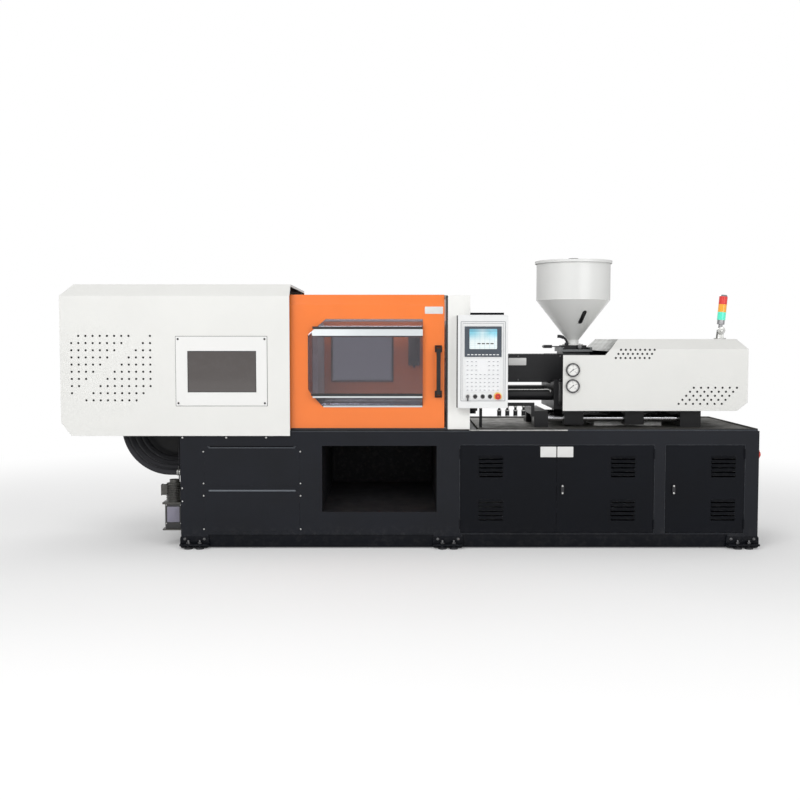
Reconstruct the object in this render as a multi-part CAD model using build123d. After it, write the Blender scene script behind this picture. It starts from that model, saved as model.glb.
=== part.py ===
from build123d import *
import os
from math import atan2, cos, degrees, hypot, pi, radians, sin

# Horizontal injection moulding machine, full size, floor standing.
# Millimetres. X runs along the machine from the clamp end to the injection end,
# Y from the operator's side (negative) to the back, Z up from the floor.
# The origin is on the floor under the middle of the machine.

os.makedirs("parts", exist_ok=True)

# Driving dimensions
AXIS_Z = 1262.0            # height of the barrel and of the platens' centre
RUN = 0.05                 # radial clearance of pins, rods and bars in their bores
SEAT = 0.3                 # clearance of a moving piece over its seat
SHEET = 3.0                # folded sheet of covers and doors

# Base
BASE_X0, BASE_X1 = -1625.0, 2450.0
BASE_Y = 590.0             # half width
BASE_Z0, BASE_TOP = 98.0, 833.0
BASE_WALL = 8.0
POST_Z0 = 45.0             # underside of the three pairs of posts
POSTS = ((-1624.0, -1435.0), (164.0, 360.0), (2236.0, 2450.0))
POST_DEPTH = 150.0
PANEL_X = (-1453.0, -788.0)
PANEL_Z = ((121.0, 408.0), (446.0, 721.0))
PANEL_PROUD = 4.0
BAY_X = (-627.0, 181.0)
BAY_Z = (259.0, 728.0)
BAY_BACK = 540.0
CHUTE_DROP = 60.0
DROP_Y = 300.0             # half width of the opening that moulded parts fall through
DROP_X = (-600.0, 160.0)
LEDGE_Z = (806.0, 826.0)   # strip on the base's side that carries the clamp cover
LEDGE_END = -860.0
DIVIDER_X = 1753.0         # wall between the hydraulic and the electrical compartment

# Cabinet doors: (left edge, right edge, hinge on the right)
DOOR_Z = (113.0, 731.0)
DOOR_LEFT = (347.0, 1025.0)
DOOR_MIDDLE = (1027.0, 1711.0)
DOOR_RIGHT = (1795.0, 2348.0)
DOOR_GAP = 3.0
LEAF_DEPTH = 22.0
LEAF_SHEET = 2.5
LIP = 15.0
HINGE_R = 5.0
VENT_W, VENT_H = 168.0, 154.0
VENT_Z = (266.0, 574.0)    # centres of the lower and the upper vent
VENT_X = (563.0, 1494.0, 2201.0)
VENT_SLOTS = 5
LOCK_X = (1067.0, 1851.0)
LOCK_Z = 420.0
LOCK_LEN, LOCK_W, LOCK_DEPTH = 70.0, 20.0, 14.0

# Levelling feet
FOOT_R, FOOT_H = 55.0, 22.0
STUD_R = 16.0
FEET_X = (-1530.0, 262.0, 2343.0)
FEET_Y = 500.0

# Platens, tie bars and toggle
PLATEN = 340.0             # half width and half height of a platen
FIXED_X = (215.0, 415.0)
MOVING_THICK = 190.0
REAR_THICK = 200.0
DAYLIGHT = 890.0           # between the platens, clamp open
BAR_R = 40.0
BAR_AT = 270.0             # tie bars stand this far from the axis, both ways
BAR_END = -1660.0
NUT_R, NUT_LEN = 66.0, 60.0
LOCATE_R, LOCATE_LEN = 62.5, 40.0
NOZZLE_CONE_R = 150.0
BOLT_AT, BOLT_R, BOLT_DEPTH = 140.0, 7.0, 40.0
SHOE_W, SHOE_H = 130.0, 70.0
WAY_Z = 845.0              # top of the hardened ways that carry the platens
WAY_Y = 265.0
LINK = 300.0               # pin to pin, both links of the double toggle
EAR = 150.0                # from the rear pin to the crosshead link's pin, and that link's length
OPEN_DEG = 73.6            # angle of the rear link to the axis, clamp open
PIN_Z = 75.0               # height of the rear and front pins over the axis
PIN_BACK = 75.0            # from a platen's face to its toggle pins
PIN_R, ELBOW_R, EAR_PIN_R = 20.0, 18.0, 15.0
BOSS_R, EAR_BOSS_R = 38.0, 27.0
LINK_W, EAR_LINK_W = 56.0, 40.0
LAYER = ((20.0, 48.0), (50.0, 80.0), (82.0, 112.0), (114.0, 144.0))
CROSS_T, CROSS_X, CROSS_TOP = 18.0, 35.0, 105.0
ROD_R = 30.0
ROD_TAIL = 640.0
CYL_FLANGE, CYL_FLANGE_T = 110.0, 34.0
CYL_R, CYL_LEN = 82.0, 560.0
CYL_CAP = 95.0
POCKET, POCKET_DEPTH = 100.0, 130.0
EJECT_HALF, EJECT_T, EJECT_ROD_R = 85.0, 25.0, 20.0

# Clamp cover
COVER_X = (-2450.0, -848.0)
COVER_Y = 612.0
COVER_Z = (800.0, 1862.0)
COVER_EAVE = 1778.0
COVER_BEVEL = 77.0
COVER_FOOT = (72.0, 93.0)
HOLE_R = 5.0
GRILLE_X, GRILLE_Z, GRILLE_PITCH = -2370.0, 1500.0, 50.0
GRILLE_COLS, GRILLE_ROWS = 12, 10
GRILLE_GAP = (9, 10)
FRAME_X = (-1642.0, -1006.0)
FRAME_Z = (1012.0, 1496.0)
GLASS_X = (-1561.0, -1081.0)
GLASS_Z = (1106.0, 1395.0)
GLASS_LAP = 15.0
GLASS_T = 4.0

# Hose bulkhead inside the clamp cover
BULKHEAD_X = (-2080.0, -1895.0)
BULKHEAD_Z, BULKHEAD_T = 925.0, 8.0
HOSE_R, HOSES = 19.0, 4
HOSE_X, HOSE_Y, HOSE_STEP_X, HOSE_STEP_Y = -2035.0, -500.0, 26.0, 62.0
HOSE_BEND, HOSE_END_Z = 330.0, 530.0
GREASE_R = 4.0
LUBE_OUT, LUBE_Y, LUBE_TOP = 66.0, -470.0, 476.0

# Column cover: the sheet portal round the fixed platen
COLUMN_X = (259.0, 415.0)
COLUMN_Y = 565.0
COLUMN_Z = (843.0, 1784.0)
COLUMN_LEG = 215.0
PLINTH = 6.0

# Sliding safety doors
GATE_X = (-885.0, 235.0)
GATE_Y = 555.0
GATE_Z0, GATE_EAVE, GATE_TOP = 838.0, 1721.0, 1790.0
GATE_LEAN = 35.0
GATE_FLANGE = 36.0
GATE_RETURN = 25.0
BAY_WINDOW = ((-725.0, 1124.0), (-725.0, 1505.0), (-598.0, 1618.0), (82.0, 1618.0),
              (82.0, 1003.0), (-622.0, 1003.0))
BAY_OUT = 43.0             # how far the window bay stands out of the door skin
PANE = 5.0
PANE_LAP = 14.0
REAR_WINDOW_X = (-621.0, -144.0)
REAR_WINDOW_Z = (1145.0, 1560.0)
GRIP_X = 192.5
GRIP_Z = (1067.0, 1434.0)
GRIP_FOOT_W, GRIP_FOOT_H, GRIP_BAR_W = 50.0, 62.0, 28.0
GRIP_OUT, REAR_GRIP_OUT = 58.0, 85.0
RAIL_X0, RAIL_BREAK = -1880.0, -860.0
RAIL_IN, RAIL_OUT = 490.0, 512.0
RAIL_Z0 = 1758.0
GUIDE_T, GUIDE_H = 8.0, 22.0

# Control panel
BOX_X = (319.0, 672.0)
BOX_Y = (655.0, 565.0)
BOX_Z = (998.0, 1645.0)
RIM_X = (348.0, 650.0)
RIM_Z = (1051.0, 1596.0)
RIM_T, RIM_W = 4.0, 9.0
SCREEN_X = (371.0, 626.0)
SCREEN_Z = (1355.0, 1565.0)
SCREEN_T = 6.0
PAD_X = (375.0, 617.0)
PAD_Z = (1111.0, 1339.0)
PAD_T = 1.5
ROW_Z = 1079.6
KEY_X, STOP_X = 393.0, 602.0
BUTTON_X = (445.0, 497.0, 548.0)
BEZEL_R, BEZEL_T = 15.0, 4.0
BUTTON_R, BUTTON_OUT, BUTTON_TRAVEL = 11.0, 9.0, 4.0
STOP_R, STOP_STEM_R, STOP_OUT, STOP_TRAVEL = 21.0, 10.0, 24.0, 6.0
STOP_PLATE_R = 29.0
SOCKET = 14.0              # depth of the holes that hold the buttons
HOOD_X = (412.0, 641.0)
HOOD_H = 13.0

# Injection unit
RAIL_BAR_R, RAIL_BAR_Y, RAIL_BAR_Z = 27.0, 260.0, 900.0
DECK_T = 6.0
SUPPORT_FRONT, SUPPORT_REAR = (900.0, 1000.0), (1960.0, 2110.0)
SUPPORT_TOP = 955.0
SLIDER = ((1120.0, 1260.0), (1560.0, 1700.0))
BED_X, BED_Z = (1040.0, 1900.0), (970.0, 990.0)
FRONT_PLATE_TOP = 1180.0
NOZZLE_X, BARREL_X0 = 272.0, 335.0
NOZZLE_TIP_R, NOZZLE_HEX_R = 9.0, 28.0
BARREL_R, BAND_R = 60.0, 74.0
BANDS = ((440.0, 640.0), (660.0, 860.0), (880.0, 1080.0))
SCREW_R = 22.5
GUARD_X = (490.0, 1130.0)
GUARD_Y = 150.0
GUARD_Z = (1159.0, 1367.0)
GUARD_T = 2.5
FEED_X = (1130.0, 1330.0)
FEED_Y = 190.0
FEED_TOP = 1395.0
THROAT_R = 35.0
SHIFT_CYL_R, SHIFT_CYL_Y, SHIFT_CYL_Z = 46.0, 235.0, 1076.0
SHIFT_CYL_X = (600.0, 1040.0)
SHIFT_ROD_R = 19.0
PUSH_CYL_R, PUSH_CYL_Y, PUSH_CYL_END = 48.0, 128.0, 1560.0
PUSH_ROD_R = 21.0
THRUST_X = (1620.0, 1760.0)
MOTOR_R, MOTOR_END = 95.0, 1960.0
UNIT_X = (1079.0, 2392.0)
UNIT_Y = 500.0
UNIT_OUTLINE = ((1079.0, 968.0), (2316.0, 968.0), (2392.0, 1027.0), (2392.0, 1407.0),
                (2327.0, 1478.0), (1480.0, 1478.0), (1377.0, 1364.0), (1079.0, 1364.0))
UNIT_EAVE, UNIT_TOP, UNIT_BEVEL = 1407.0, 1478.0, 70.0
STEP_LIP = 1392.0          # lower edge of the slanted front of the roof
UPPER_HOLES = (1488.0, 1402.0, 34.0, 29.0, 18.0, 3, 8)
LOWER_HOLES = (2008.0, 1133.0, 51.0, 28.6, 26.5, 5, 7)
GAUGE_X = 1147.0
GAUGE_Z = (1145.0, 1259.0)
GAUGE_R, GAUGE_RIM, GAUGE_OUT, DIAL_BACK = 49.0, 5.0, 16.0, 5.0
NEEDLE_T = 1.5
NEEDLE_REST = 130.0        # the pointer's angle at zero pressure, anticlockwise from the top

# Hopper
HOPPER_X = 1228.0
HOPPER_R, HOPPER_WALL = 275.0, 3.0
RIM_TOP, CONE_TOP, CONE_END, NECK_END = 2052.0, 1770.0, 1472.0, 1440.0
NECK_R = 44.0
FLANGE_R, FLANGE_T = 78.0, 8.0
LID_R, LID_T, LID_SKIRT = 284.0, 4.0, 16.0
KNOB_R, KNOB_RISE = 37.0, 31.0
RIM_ROLL, RIM_ROLL_T, LID_BOSS = 8.0, 4.0, 6.0
SLOT_LEN, SLOT_W, SLOT_Z, SLOT_TURN = 92.0, 26.0, 1640.0, 14.0
SLIDE_X = (1140.0, 1316.0)
SLIDE_Y = 95.0
SLIDE_FLANGE_X = (1126.0, 1330.0)
SLIDE_FLANGE_T = 8.0
GATE_PLATE_T, GATE_PLATE_Y = 7.0, 50.0
GATE_PLATE_X = (1076.0, 1290.0)
GIB_W = 12.0

# Signal tower
TOWER_X, TOWER_Y = 2294.0, -150.0
TOWER_PIVOT_Z = 1541.0
TOWER_LEAN = 5.0
TOWER_R, LENS_H = 30.0, 58.0
TOWER_FOOT_R, TOWER_FOOT_T = 44.0, 8.0
TOWER_EAR_T, TOWER_EAR_GAP = 5.0, 17.0

# Isolator switch on the right-hand end
ISOLATOR_Y, ISOLATOR_Z = -430.0, 651.0
ISOLATOR_PLATE, ISOLATOR_PLATE_T = 45.0, 4.0
ISOLATOR_R, ISOLATOR_OUT = 27.0, 17.0


def block(x, y, z):
    """Box between two X, two Y and two Z values."""
    size = [abs(pair[1] - pair[0]) for pair in (x, y, z)]
    centre = [(pair[0] + pair[1]) / 2 for pair in (x, y, z)]
    return Pos(*centre) * Box(*size)


def along_x(shape, x0, x1):
    """Prism of a (Y, Z) outline between two X values."""
    face = Plane((x0, 0, 0), x_dir=(0, 1, 0), z_dir=(1, 0, 0)) * shape
    return extrude(face, amount=x1 - x0, dir=(1, 0, 0))


def along_y(shape, y0, y1):
    """Prism of an (X, Z) outline between two Y values."""
    face = Plane((0, y1, 0), x_dir=(1, 0, 0), z_dir=(0, -1, 0)) * shape
    return extrude(face, amount=y1 - y0, dir=(0, -1, 0))


def along_z(shape, z0, z1):
    """Prism of an (X, Y) outline between two Z values."""
    return extrude(Pos(0, 0, z0) * shape, amount=z1 - z0, dir=(0, 0, 1))


def outline(*points):
    """Closed straight-sided outline through the points."""
    return Polygon(*points, align=None)


def rod_x(radius, x0, x1, y=0.0, z=AXIS_Z):
    return along_x(Pos(y, z) * Circle(radius), x0, x1)


def rod_y(radius, y0, y1, x, z):
    return along_y(Pos(x, z) * Circle(radius), y0, y1)


def rod_z(radius, z0, z1, x, y=0.0):
    return along_z(Pos(x, y) * Circle(radius), z0, z1)


def hexagon_hole(x, z, y0, y1):
    return along_y(Pos(x, z) * RegularPolygon(HOLE_R, 6), y0, y1)


def sheet_strip(points, thickness):
    """Outline of a folded sheet: the points are one face, the other lies to their left."""
    def shifted(index):
        before = points[max(index - 1, 0)]
        here = points[index]
        after = points[min(index + 1, len(points) - 1)]
        normals = []
        for start, end in ((before, here), (here, after)):
            run = hypot(end[0] - start[0], end[1] - start[1])
            if run:
                normals.append(((start[1] - end[1]) / run, (end[0] - start[0]) / run))
        bisector = [sum(part) for part in zip(*normals)]
        scale = thickness * len(normals) / (bisector[0] ** 2 + bisector[1] ** 2)
        return (here[0] + bisector[0] * scale, here[1] + bisector[1] * scale)

    inner = [shifted(index) for index in range(len(points))]
    return outline(*points, *reversed(inner))


def both_sides(half):
    """A piece and its mirror image across the machine's long axis."""
    return half + mirror(half, Plane.XZ)


def link_outline(start, end, width, boss):
    """Bar between two bosses, in the X-Z plane."""
    length = hypot(end[0] - start[0], end[1] - start[1])
    turn = degrees(atan2(end[1] - start[1], end[0] - start[0]))
    middle = Pos((start[0] + end[0]) / 2, (start[1] + end[1]) / 2) * Rot(0, 0, turn)
    bar = middle * Rectangle(length, width)
    return Pos(*start) * Circle(boss) + Pos(*end) * Circle(boss) + bar


# Places that follow from the driving dimensions
MOVING_FRONT = FIXED_X[0] - DAYLIGHT
MOVING_REAR = MOVING_FRONT - MOVING_THICK
FRONT_PIN_X = MOVING_REAR - PIN_BACK
REAR_PIN_X = FRONT_PIN_X - 2 * LINK * cos(radians(OPEN_DEG))
REAR_FRONT = REAR_PIN_X - PIN_BACK
REAR_BACK = REAR_FRONT - REAR_THICK
ELBOW_X = REAR_PIN_X + LINK * cos(radians(OPEN_DEG))
ELBOW_Z = PIN_Z + LINK * sin(radians(OPEN_DEG))
EAR_X = REAR_PIN_X + EAR * cos(radians(OPEN_DEG))
EAR_Z = PIN_Z + EAR * sin(radians(OPEN_DEG))
CROSS_PIN_X = REAR_PIN_X + 2 * EAR * cos(radians(OPEN_DEG))
DECK_TOP = BASE_TOP + DECK_T
PANEL_FRONT = -BOX_Y[0]
GATE_SLOT_Z = FEED_TOP + 6 + SEAT + SLIDE_FLANGE_T + 9
CORNERS = [(y, z) for y in (-1, 1) for z in (-1, 1)]


def base_frame():
    """Welded base: hollow sheet body on six posts, with the discharge bay and cabinets cut in."""
    inside = BASE_Y - BASE_WALL
    body = block((BASE_X0, BASE_X1), (-BASE_Y, BASE_Y), (BASE_Z0, BASE_TOP))
    rooms = ((BASE_X0 + BASE_WALL, BAY_X[0] - BASE_WALL), (BAY_X[1] + BASE_WALL, DIVIDER_X - BASE_WALL),
             (DIVIDER_X, BASE_X1 - BASE_WALL))
    for room in rooms:
        body -= block(room, (-inside, inside), (BASE_Z0 + BASE_WALL, BASE_TOP - BASE_WALL))
    # bay for the moulded parts, with a sloping floor, open to the front and through the top
    floor = BAY_Z[0] + CHUTE_DROP
    body -= along_x(outline((-BASE_Y - 1, BAY_Z[0]), (-BASE_Y - 1, BAY_Z[1]), (BAY_BACK, BAY_Z[1]),
                            (BAY_BACK, floor)), *BAY_X)
    body -= block(DROP_X, (-DROP_Y, DROP_Y), (BAY_Z[1] - 1, BASE_TOP + 1))
    # hollow under the bay floor
    body -= block(BAY_X, (-inside, inside), (BASE_Z0 + BASE_WALL, BAY_Z[0] - BASE_WALL))
    # cabinet openings with a lip behind each door
    for left, right in ((DOOR_LEFT[0], DOOR_MIDDLE[1]), DOOR_RIGHT):
        x = (left - DOOR_GAP, right + DOOR_GAP)
        z = (DOOR_Z[0] - DOOR_GAP, DOOR_Z[1] + DOOR_GAP)
        lip_y = (-BASE_Y + LEAF_DEPTH + 2, -BASE_Y + LEAF_DEPTH + 6)
        body += (block((x[0] - LIP, x[1] + LIP), (-BASE_Y + 1, lip_y[1]), (z[0] - 3, z[1] + LIP))
                 & block((BAY_X[1], BASE_X1), (-BASE_Y, 0), (BASE_Z0, BASE_TOP)))
        body -= block(x, (-BASE_Y - 1, lip_y[0]), z)
        body -= block((x[0] + LIP, x[1] - LIP), (-BASE_Y - 1, 0), (z[0] + LIP, z[1] - LIP))
    # posts that stand lower than the body
    for x in POSTS:
        for side in (-1, 1):
            body += block(x, (side * BASE_Y, side * (BASE_Y - POST_DEPTH)), (POST_Z0, BASE_Z0 + 1))
    # screwed side panels with an embossed upper edge, both sides
    for z in PANEL_Z:
        for side in (-1, 1):
            y = (side * BASE_Y, side * (BASE_Y + PANEL_PROUD))
            plate = RectangleRounded(PANEL_X[1] - PANEL_X[0], z[1] - z[0], 28)
            body += along_y(Pos(sum(PANEL_X) / 2, sum(z) / 2) * plate, min(y), max(y))
    # ledges for the clamp cover, ways for the platens and the isolator's plate
    for side in (-1, 1):
        body += block((BASE_X0 + 25, LEDGE_END), (side * BASE_Y, side * (COVER_Y - SHEET)), LEDGE_Z)
        way = (side * (WAY_Y - SHOE_W / 2), side * (WAY_Y + SHOE_W / 2))
        body += block((BASE_X0, DROP_X[0]), way, (BASE_TOP, WAY_Z))
    body += block((BASE_X1, BASE_X1 + ISOLATOR_PLATE_T),
                  (ISOLATOR_Y - ISOLATOR_PLATE, ISOLATOR_Y + ISOLATOR_PLATE),
                  (ISOLATOR_Z - ISOLATOR_PLATE, ISOLATOR_Z + ISOLATOR_PLATE))
    return body


def base_top():
    """Deck of the injection side: a shallow tray, and a galvanised drip tray on it."""
    x = (FIXED_X[1] + 60, BASE_X1 - 10)
    y = BASE_Y - 6
    deck = block(x, (-y, y), (BASE_TOP, DECK_TOP + 10)) - block((x[0] + 3, x[1] - 3), (3 - y, y - 3),
                                                               (DECK_TOP, DECK_TOP + 11))
    tray_x, tray_y = (1360.0, 1860.0), 190.0
    tray = block(tray_x, (-tray_y, tray_y), (DECK_TOP, DECK_TOP + 45))
    tray -= block((tray_x[0] + 3, tray_x[1] - 3), (3 - tray_y, tray_y - 3), (DECK_TOP + 3, DECK_TOP + 46))
    return [deck, tray]


def levelling_feet():
    """Six screw feet under the posts."""
    feet = []
    for x in FEET_X:
        for y in (-FEET_Y, FEET_Y):
            profile = outline((0, 0), (FOOT_R, 0), (FOOT_R, 10), (STUD_R + 8, FOOT_H), (STUD_R, FOOT_H),
                              (STUD_R, POST_Z0), (0, POST_Z0))
            feet.append(Pos(x, y) * revolve(Plane.XZ * profile, Axis.Z))
    return feet


def lubricator():
    """Grease pump on the left-hand end: motor housing over a tapered reservoir, and its distributor."""
    x, y, top = BASE_X0 - LUBE_OUT, LUBE_Y, LUBE_TOP
    split, bottom = 315.0, 119.0
    motor = rod_z(48.0, split, top - 26, x, y) + rod_z(36.0, top - 26, top, x, y)
    motor += rod_x(17.0, x - 78, x, y, top - 52)
    motor += block((x, BASE_X0), (y - 30, y + 30), (split + 20, split + 90))
    section = Pos(x, y) * RectangleRounded(126.0, 110.0, 16)
    reservoir = along_z(section, bottom + 30, split - 1)
    reservoir += extrude(Pos(0, 0, bottom + 30) * section, amount=-30, taper=12)
    neck = rod_z(40.0, split - 1, split, x, y)
    distributor = block((x + 10, BASE_X0 + 30), (y - 20, y + 20), (BASE_TOP, BASE_TOP + 36))
    return [motor, reservoir + neck, distributor]


def hose(points, radius, bend):
    """Round tube along straight runs joined by one arc."""
    path = FilletPolyline(*points, radius=bend)
    tube = sweep(Plane(path @ 0, z_dir=path % 0) * Circle(radius), path=path)
    expected = pi * radius ** 2 * path.length
    print(f"hose r {radius}: length {path.length:.0f}, bend {bend}, volume ratio {tube.volume / expected:.4f}")
    return tube


def clamp_hoses():
    """Oil hoses from the clamp cover's bulkhead in a quarter turn to the base's end, and the grease line."""
    pieces = []
    for index in range(HOSES):
        x = HOSE_X + HOSE_STEP_X * index
        y = HOSE_Y + HOSE_STEP_Y * index
        end_z = HOSE_END_Z + HOSE_STEP_X * index
        points = ((x, y, BULKHEAD_Z), (x, y, end_z), (BASE_X0, y, end_z))
        pieces.append(hose(points, HOSE_R, HOSE_BEND - HOSE_STEP_X * index))
    pieces.append(rod_z(GREASE_R, LUBE_TOP, BASE_TOP, BASE_X0 - LUBE_OUT / 2, LUBE_Y))
    return pieces


def hose_bulkhead():
    """Bracket inside the clamp cover that the hoses and the grease line end in."""
    far = HOSE_Y + HOSE_STEP_Y * HOSES
    plate = block(BULKHEAD_X, (-COVER_Y + SHEET, far), (BULKHEAD_Z, BULKHEAD_Z + BULKHEAD_T))
    return plate + [rod_z(HOSE_R + 5, BULKHEAD_Z + BULKHEAD_T, BULKHEAD_Z + 45, HOSE_X + HOSE_STEP_X * index,
                          HOSE_Y + HOSE_STEP_Y * index) for index in range(HOSES)]


def motor_pump():
    """Electric motor with its pump on a bell housing, on feet in the hydraulic compartment."""
    floor = BASE_Z0 + BASE_WALL
    x0, y, z, radius = 1220.0, -120.0, floor + 190.0, 130.0
    motor = rod_x(radius, x0, x0 + 300, y, z) + rod_x(radius - 16, x0 - 40, x0, y, z)
    motor += rod_x(80.0, x0 + 300, x0 + 370, y, z)
    for angle in range(0, 360, 30):
        fin = block((x0 + 20, x0 + 280), (-4, 4), (radius - 4, radius + 10))
        motor += Pos(0, y, z) * Rot(angle, 0, 0) * fin
    motor += block((x0 + 20, x0 + 280), (y - 110, y + 110), (floor, floor + 18))
    motor += block((x0 + 60, x0 + 240), (y - 60, y + 60), (floor + 17, z - 90))
    pump = block((x0 + 370, x0 + 450), (y - 62, y + 62), (z - 62, z + 62))
    pump += rod_y(22.0, y - 90, y - 60, x0 + 410, z)
    tank = block((390.0, 1080.0), (-280.0, BASE_Y - BASE_WALL), (floor, floor + 300))
    tank += rod_z(50.0, floor + 300, floor + 330, 500.0, -180.0)
    return [motor, pump, tank]


def control_rack():
    """Mounting plate with the contactors and drives, at the back of the electrical compartment."""
    x0, x1 = 1830.0, 2330.0
    y = 300.0
    plate = block((x0, x1), (y, y + 4), (BASE_Z0 + BASE_WALL, 700.0))
    for row, height, width in ((590.0, 90.0, 54.0), (430.0, 110.0, 90.0), (230.0, 130.0, 110.0)):
        x = x0 + 30.0
        while x + width < x1 - 20:
            plate += block((x, x + width), (y - 80, y), (row - height / 2, row + height / 2))
            x += width + 14
    return plate


def corner_bores(x0, x1, radius):
    bores = [rod_x(radius, x0, x1, y * BAR_AT, AXIS_Z + z * BAR_AT) for y, z in CORNERS]
    return bores


def bolt_holes(face, inward):
    """Four tapped holes in a platen's mould face."""
    x = sorted((face - inward, face + inward * BOLT_DEPTH))
    return [rod_x(BOLT_R, x[0], x[1], y * BOLT_AT, AXIS_Z + z * BOLT_AT) for y, z in CORNERS]


def platen_face():
    return Pos(0, AXIS_Z) * RectangleRounded(2 * PLATEN, 2 * PLATEN, 60)


def fixed_platen():
    """Cast platen at the injection side, with the locating bore and the nozzle's cone."""
    body = along_x(platen_face(), *FIXED_X)
    body += block((FIXED_X[0] + 20, FIXED_X[1]), (-PLATEN + 40, PLATEN - 40), (BASE_TOP, AXIS_Z - PLATEN + 5))
    body -= corner_bores(FIXED_X[0] - 1, FIXED_X[1] + 1, BAR_R + RUN)
    body -= rod_x(LOCATE_R, FIXED_X[0] - 1, FIXED_X[0] + LOCATE_LEN)
    cone = outline((FIXED_X[0] + LOCATE_LEN, 0), (FIXED_X[0] + LOCATE_LEN, LOCATE_R),
                   (FIXED_X[1] + 1, NOZZLE_CONE_R), (FIXED_X[1] + 1, 0))
    body -= Pos(0, 0, AXIS_Z) * revolve(Plane.XZ * cone, Axis.X)
    body -= bolt_holes(FIXED_X[0], 1)
    return body


def tie_bars():
    """Four tie bars with their nuts behind the fixed platen."""
    pieces = []
    for y, z in CORNERS:
        place = (y * BAR_AT, AXIS_Z + z * BAR_AT)
        pieces.append(rod_x(BAR_R, BAR_END, FIXED_X[1] + NUT_LEN + 12, *place))
        nut = along_x(Pos(*place) * RegularPolygon(NUT_R, 6), FIXED_X[1], FIXED_X[1] + NUT_LEN)
        pieces.append(nut - rod_x(BAR_R + RUN, FIXED_X[1] - 1, FIXED_X[1] + NUT_LEN + 1, *place))
    return pieces


def shoes(x0, x1):
    """Feet that carry a platen on the ways."""
    feet = []
    for side in (-1, 1):
        y = (side * (WAY_Y - SHOE_W / 2), side * (WAY_Y + SHOE_W / 2))
        feet.append(block((x0, x1), y, (WAY_Z + SEAT, AXIS_Z - PLATEN + 5)))
    return feet


def lugs(layer, pin_x, plate_x, pin_z, radius):
    """Clevis ears that reach from a platen's face to a toggle pin, both sides of the axis."""
    middle = AXIS_Z + pin_z
    ear = Pos(pin_x, middle) * Circle(BOSS_R)
    lean = (1 if plate_x > pin_x else -1)
    ear += outline((pin_x, middle - BOSS_R), (plate_x + lean, middle - BOSS_R - 14),
                   (plate_x + lean, middle + BOSS_R + 14), (pin_x, middle + BOSS_R))
    ear -= Pos(pin_x, middle) * Circle(radius)
    return both_sides(along_y(ear, *LAYER[layer]))


def rear_platen():
    """Platen behind the toggle, with the adjusting nuts of the tie bars on its back."""
    body = along_x(platen_face(), REAR_BACK, REAR_FRONT) + shoes(REAR_BACK + 10, REAR_FRONT - 10)
    for y, z in CORNERS:
        body += rod_x(NUT_R, REAR_BACK - 42, REAR_BACK, y * BAR_AT, AXIS_Z + z * BAR_AT)
    body -= corner_bores(REAR_BACK - 43, REAR_FRONT + 1, BAR_R + RUN)
    body -= rod_x(ROD_R + RUN, REAR_BACK - 1, REAR_FRONT + 1)
    for side in (-1, 1):
        body += lugs(2, REAR_PIN_X, REAR_FRONT, side * PIN_Z, PIN_R + RUN)
    return body


def moving_platen():
    """Platen that carries the moving mould half, with the ejector's pocket in its back."""
    body = along_x(platen_face(), MOVING_REAR, MOVING_FRONT) + shoes(MOVING_REAR - 40, MOVING_FRONT - 10)
    body += [block((MOVING_REAR - 40, MOVING_REAR + 30), side, (AXIS_Z - PLATEN, AXIS_Z - PLATEN + 40))
             for side in ((-WAY_Y - SHOE_W / 2, -WAY_Y + SHOE_W / 2), (WAY_Y - SHOE_W / 2, WAY_Y + SHOE_W / 2))]
    body -= corner_bores(MOVING_REAR - 41, MOVING_FRONT + 1, BAR_R + RUN)
    body -= block((MOVING_REAR - 1, MOVING_REAR + POCKET_DEPTH), (-POCKET, POCKET),
                  (AXIS_Z - POCKET, AXIS_Z + POCKET))
    body -= rod_x(EJECT_ROD_R + RUN, MOVING_REAR, MOVING_FRONT + 1)
    body -= bolt_holes(MOVING_FRONT, -1)
    for side in (-1, 1):
        body += lugs(3, FRONT_PIN_X, MOVING_REAR, side * PIN_Z, PIN_R + RUN)
    return body


def ejector():
    """Ejector plate in the moving platen's pocket, with its rod through the platen."""
    plate = block((MOVING_REAR + 3, MOVING_REAR + 3 + EJECT_T), (-EJECT_HALF, EJECT_HALF),
                  (AXIS_Z - EJECT_HALF, AXIS_Z + EJECT_HALF))
    return plate + rod_x(EJECT_ROD_R, MOVING_REAR + 3, MOVING_FRONT)


def rear_link(side):
    """Link from the rear platen to the elbow: two arms on one hub, with its pins."""
    pin = (REAR_PIN_X, AXIS_Z + side * PIN_Z)
    elbow = (ELBOW_X, AXIS_Z + side * ELBOW_Z)
    ear = (EAR_X, AXIS_Z + side * EAR_Z)
    arm = link_outline(pin, elbow, LINK_W, BOSS_R)
    half = along_y(arm, *LAYER[1])
    half += rod_y(BOSS_R, 0, LAYER[1][0], *pin)
    half += rod_y(PIN_R, LAYER[1][0], LAYER[2][1], *pin)
    half += rod_y(ELBOW_R, LAYER[1][0], LAYER[2][1], *elbow)
    half += rod_y(EAR_PIN_R, LAYER[0][0] + 1, LAYER[1][0], *ear)
    return both_sides(half)


def front_link(side):
    """Link from the elbow to the moving platen: two plates on one hub, with its pins."""
    pin = (FRONT_PIN_X, AXIS_Z + side * PIN_Z)
    elbow = (ELBOW_X, AXIS_Z + side * ELBOW_Z)
    plate = link_outline(pin, elbow, LINK_W, BOSS_R) - Pos(*elbow) * Circle(ELBOW_R + RUN)
    half = along_y(plate, *LAYER[2])
    half += rod_y(BOSS_R, 0, LAYER[2][0], *pin)
    half += rod_y(PIN_R, LAYER[2][0], LAYER[3][1], *pin)
    return both_sides(half)


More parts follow.
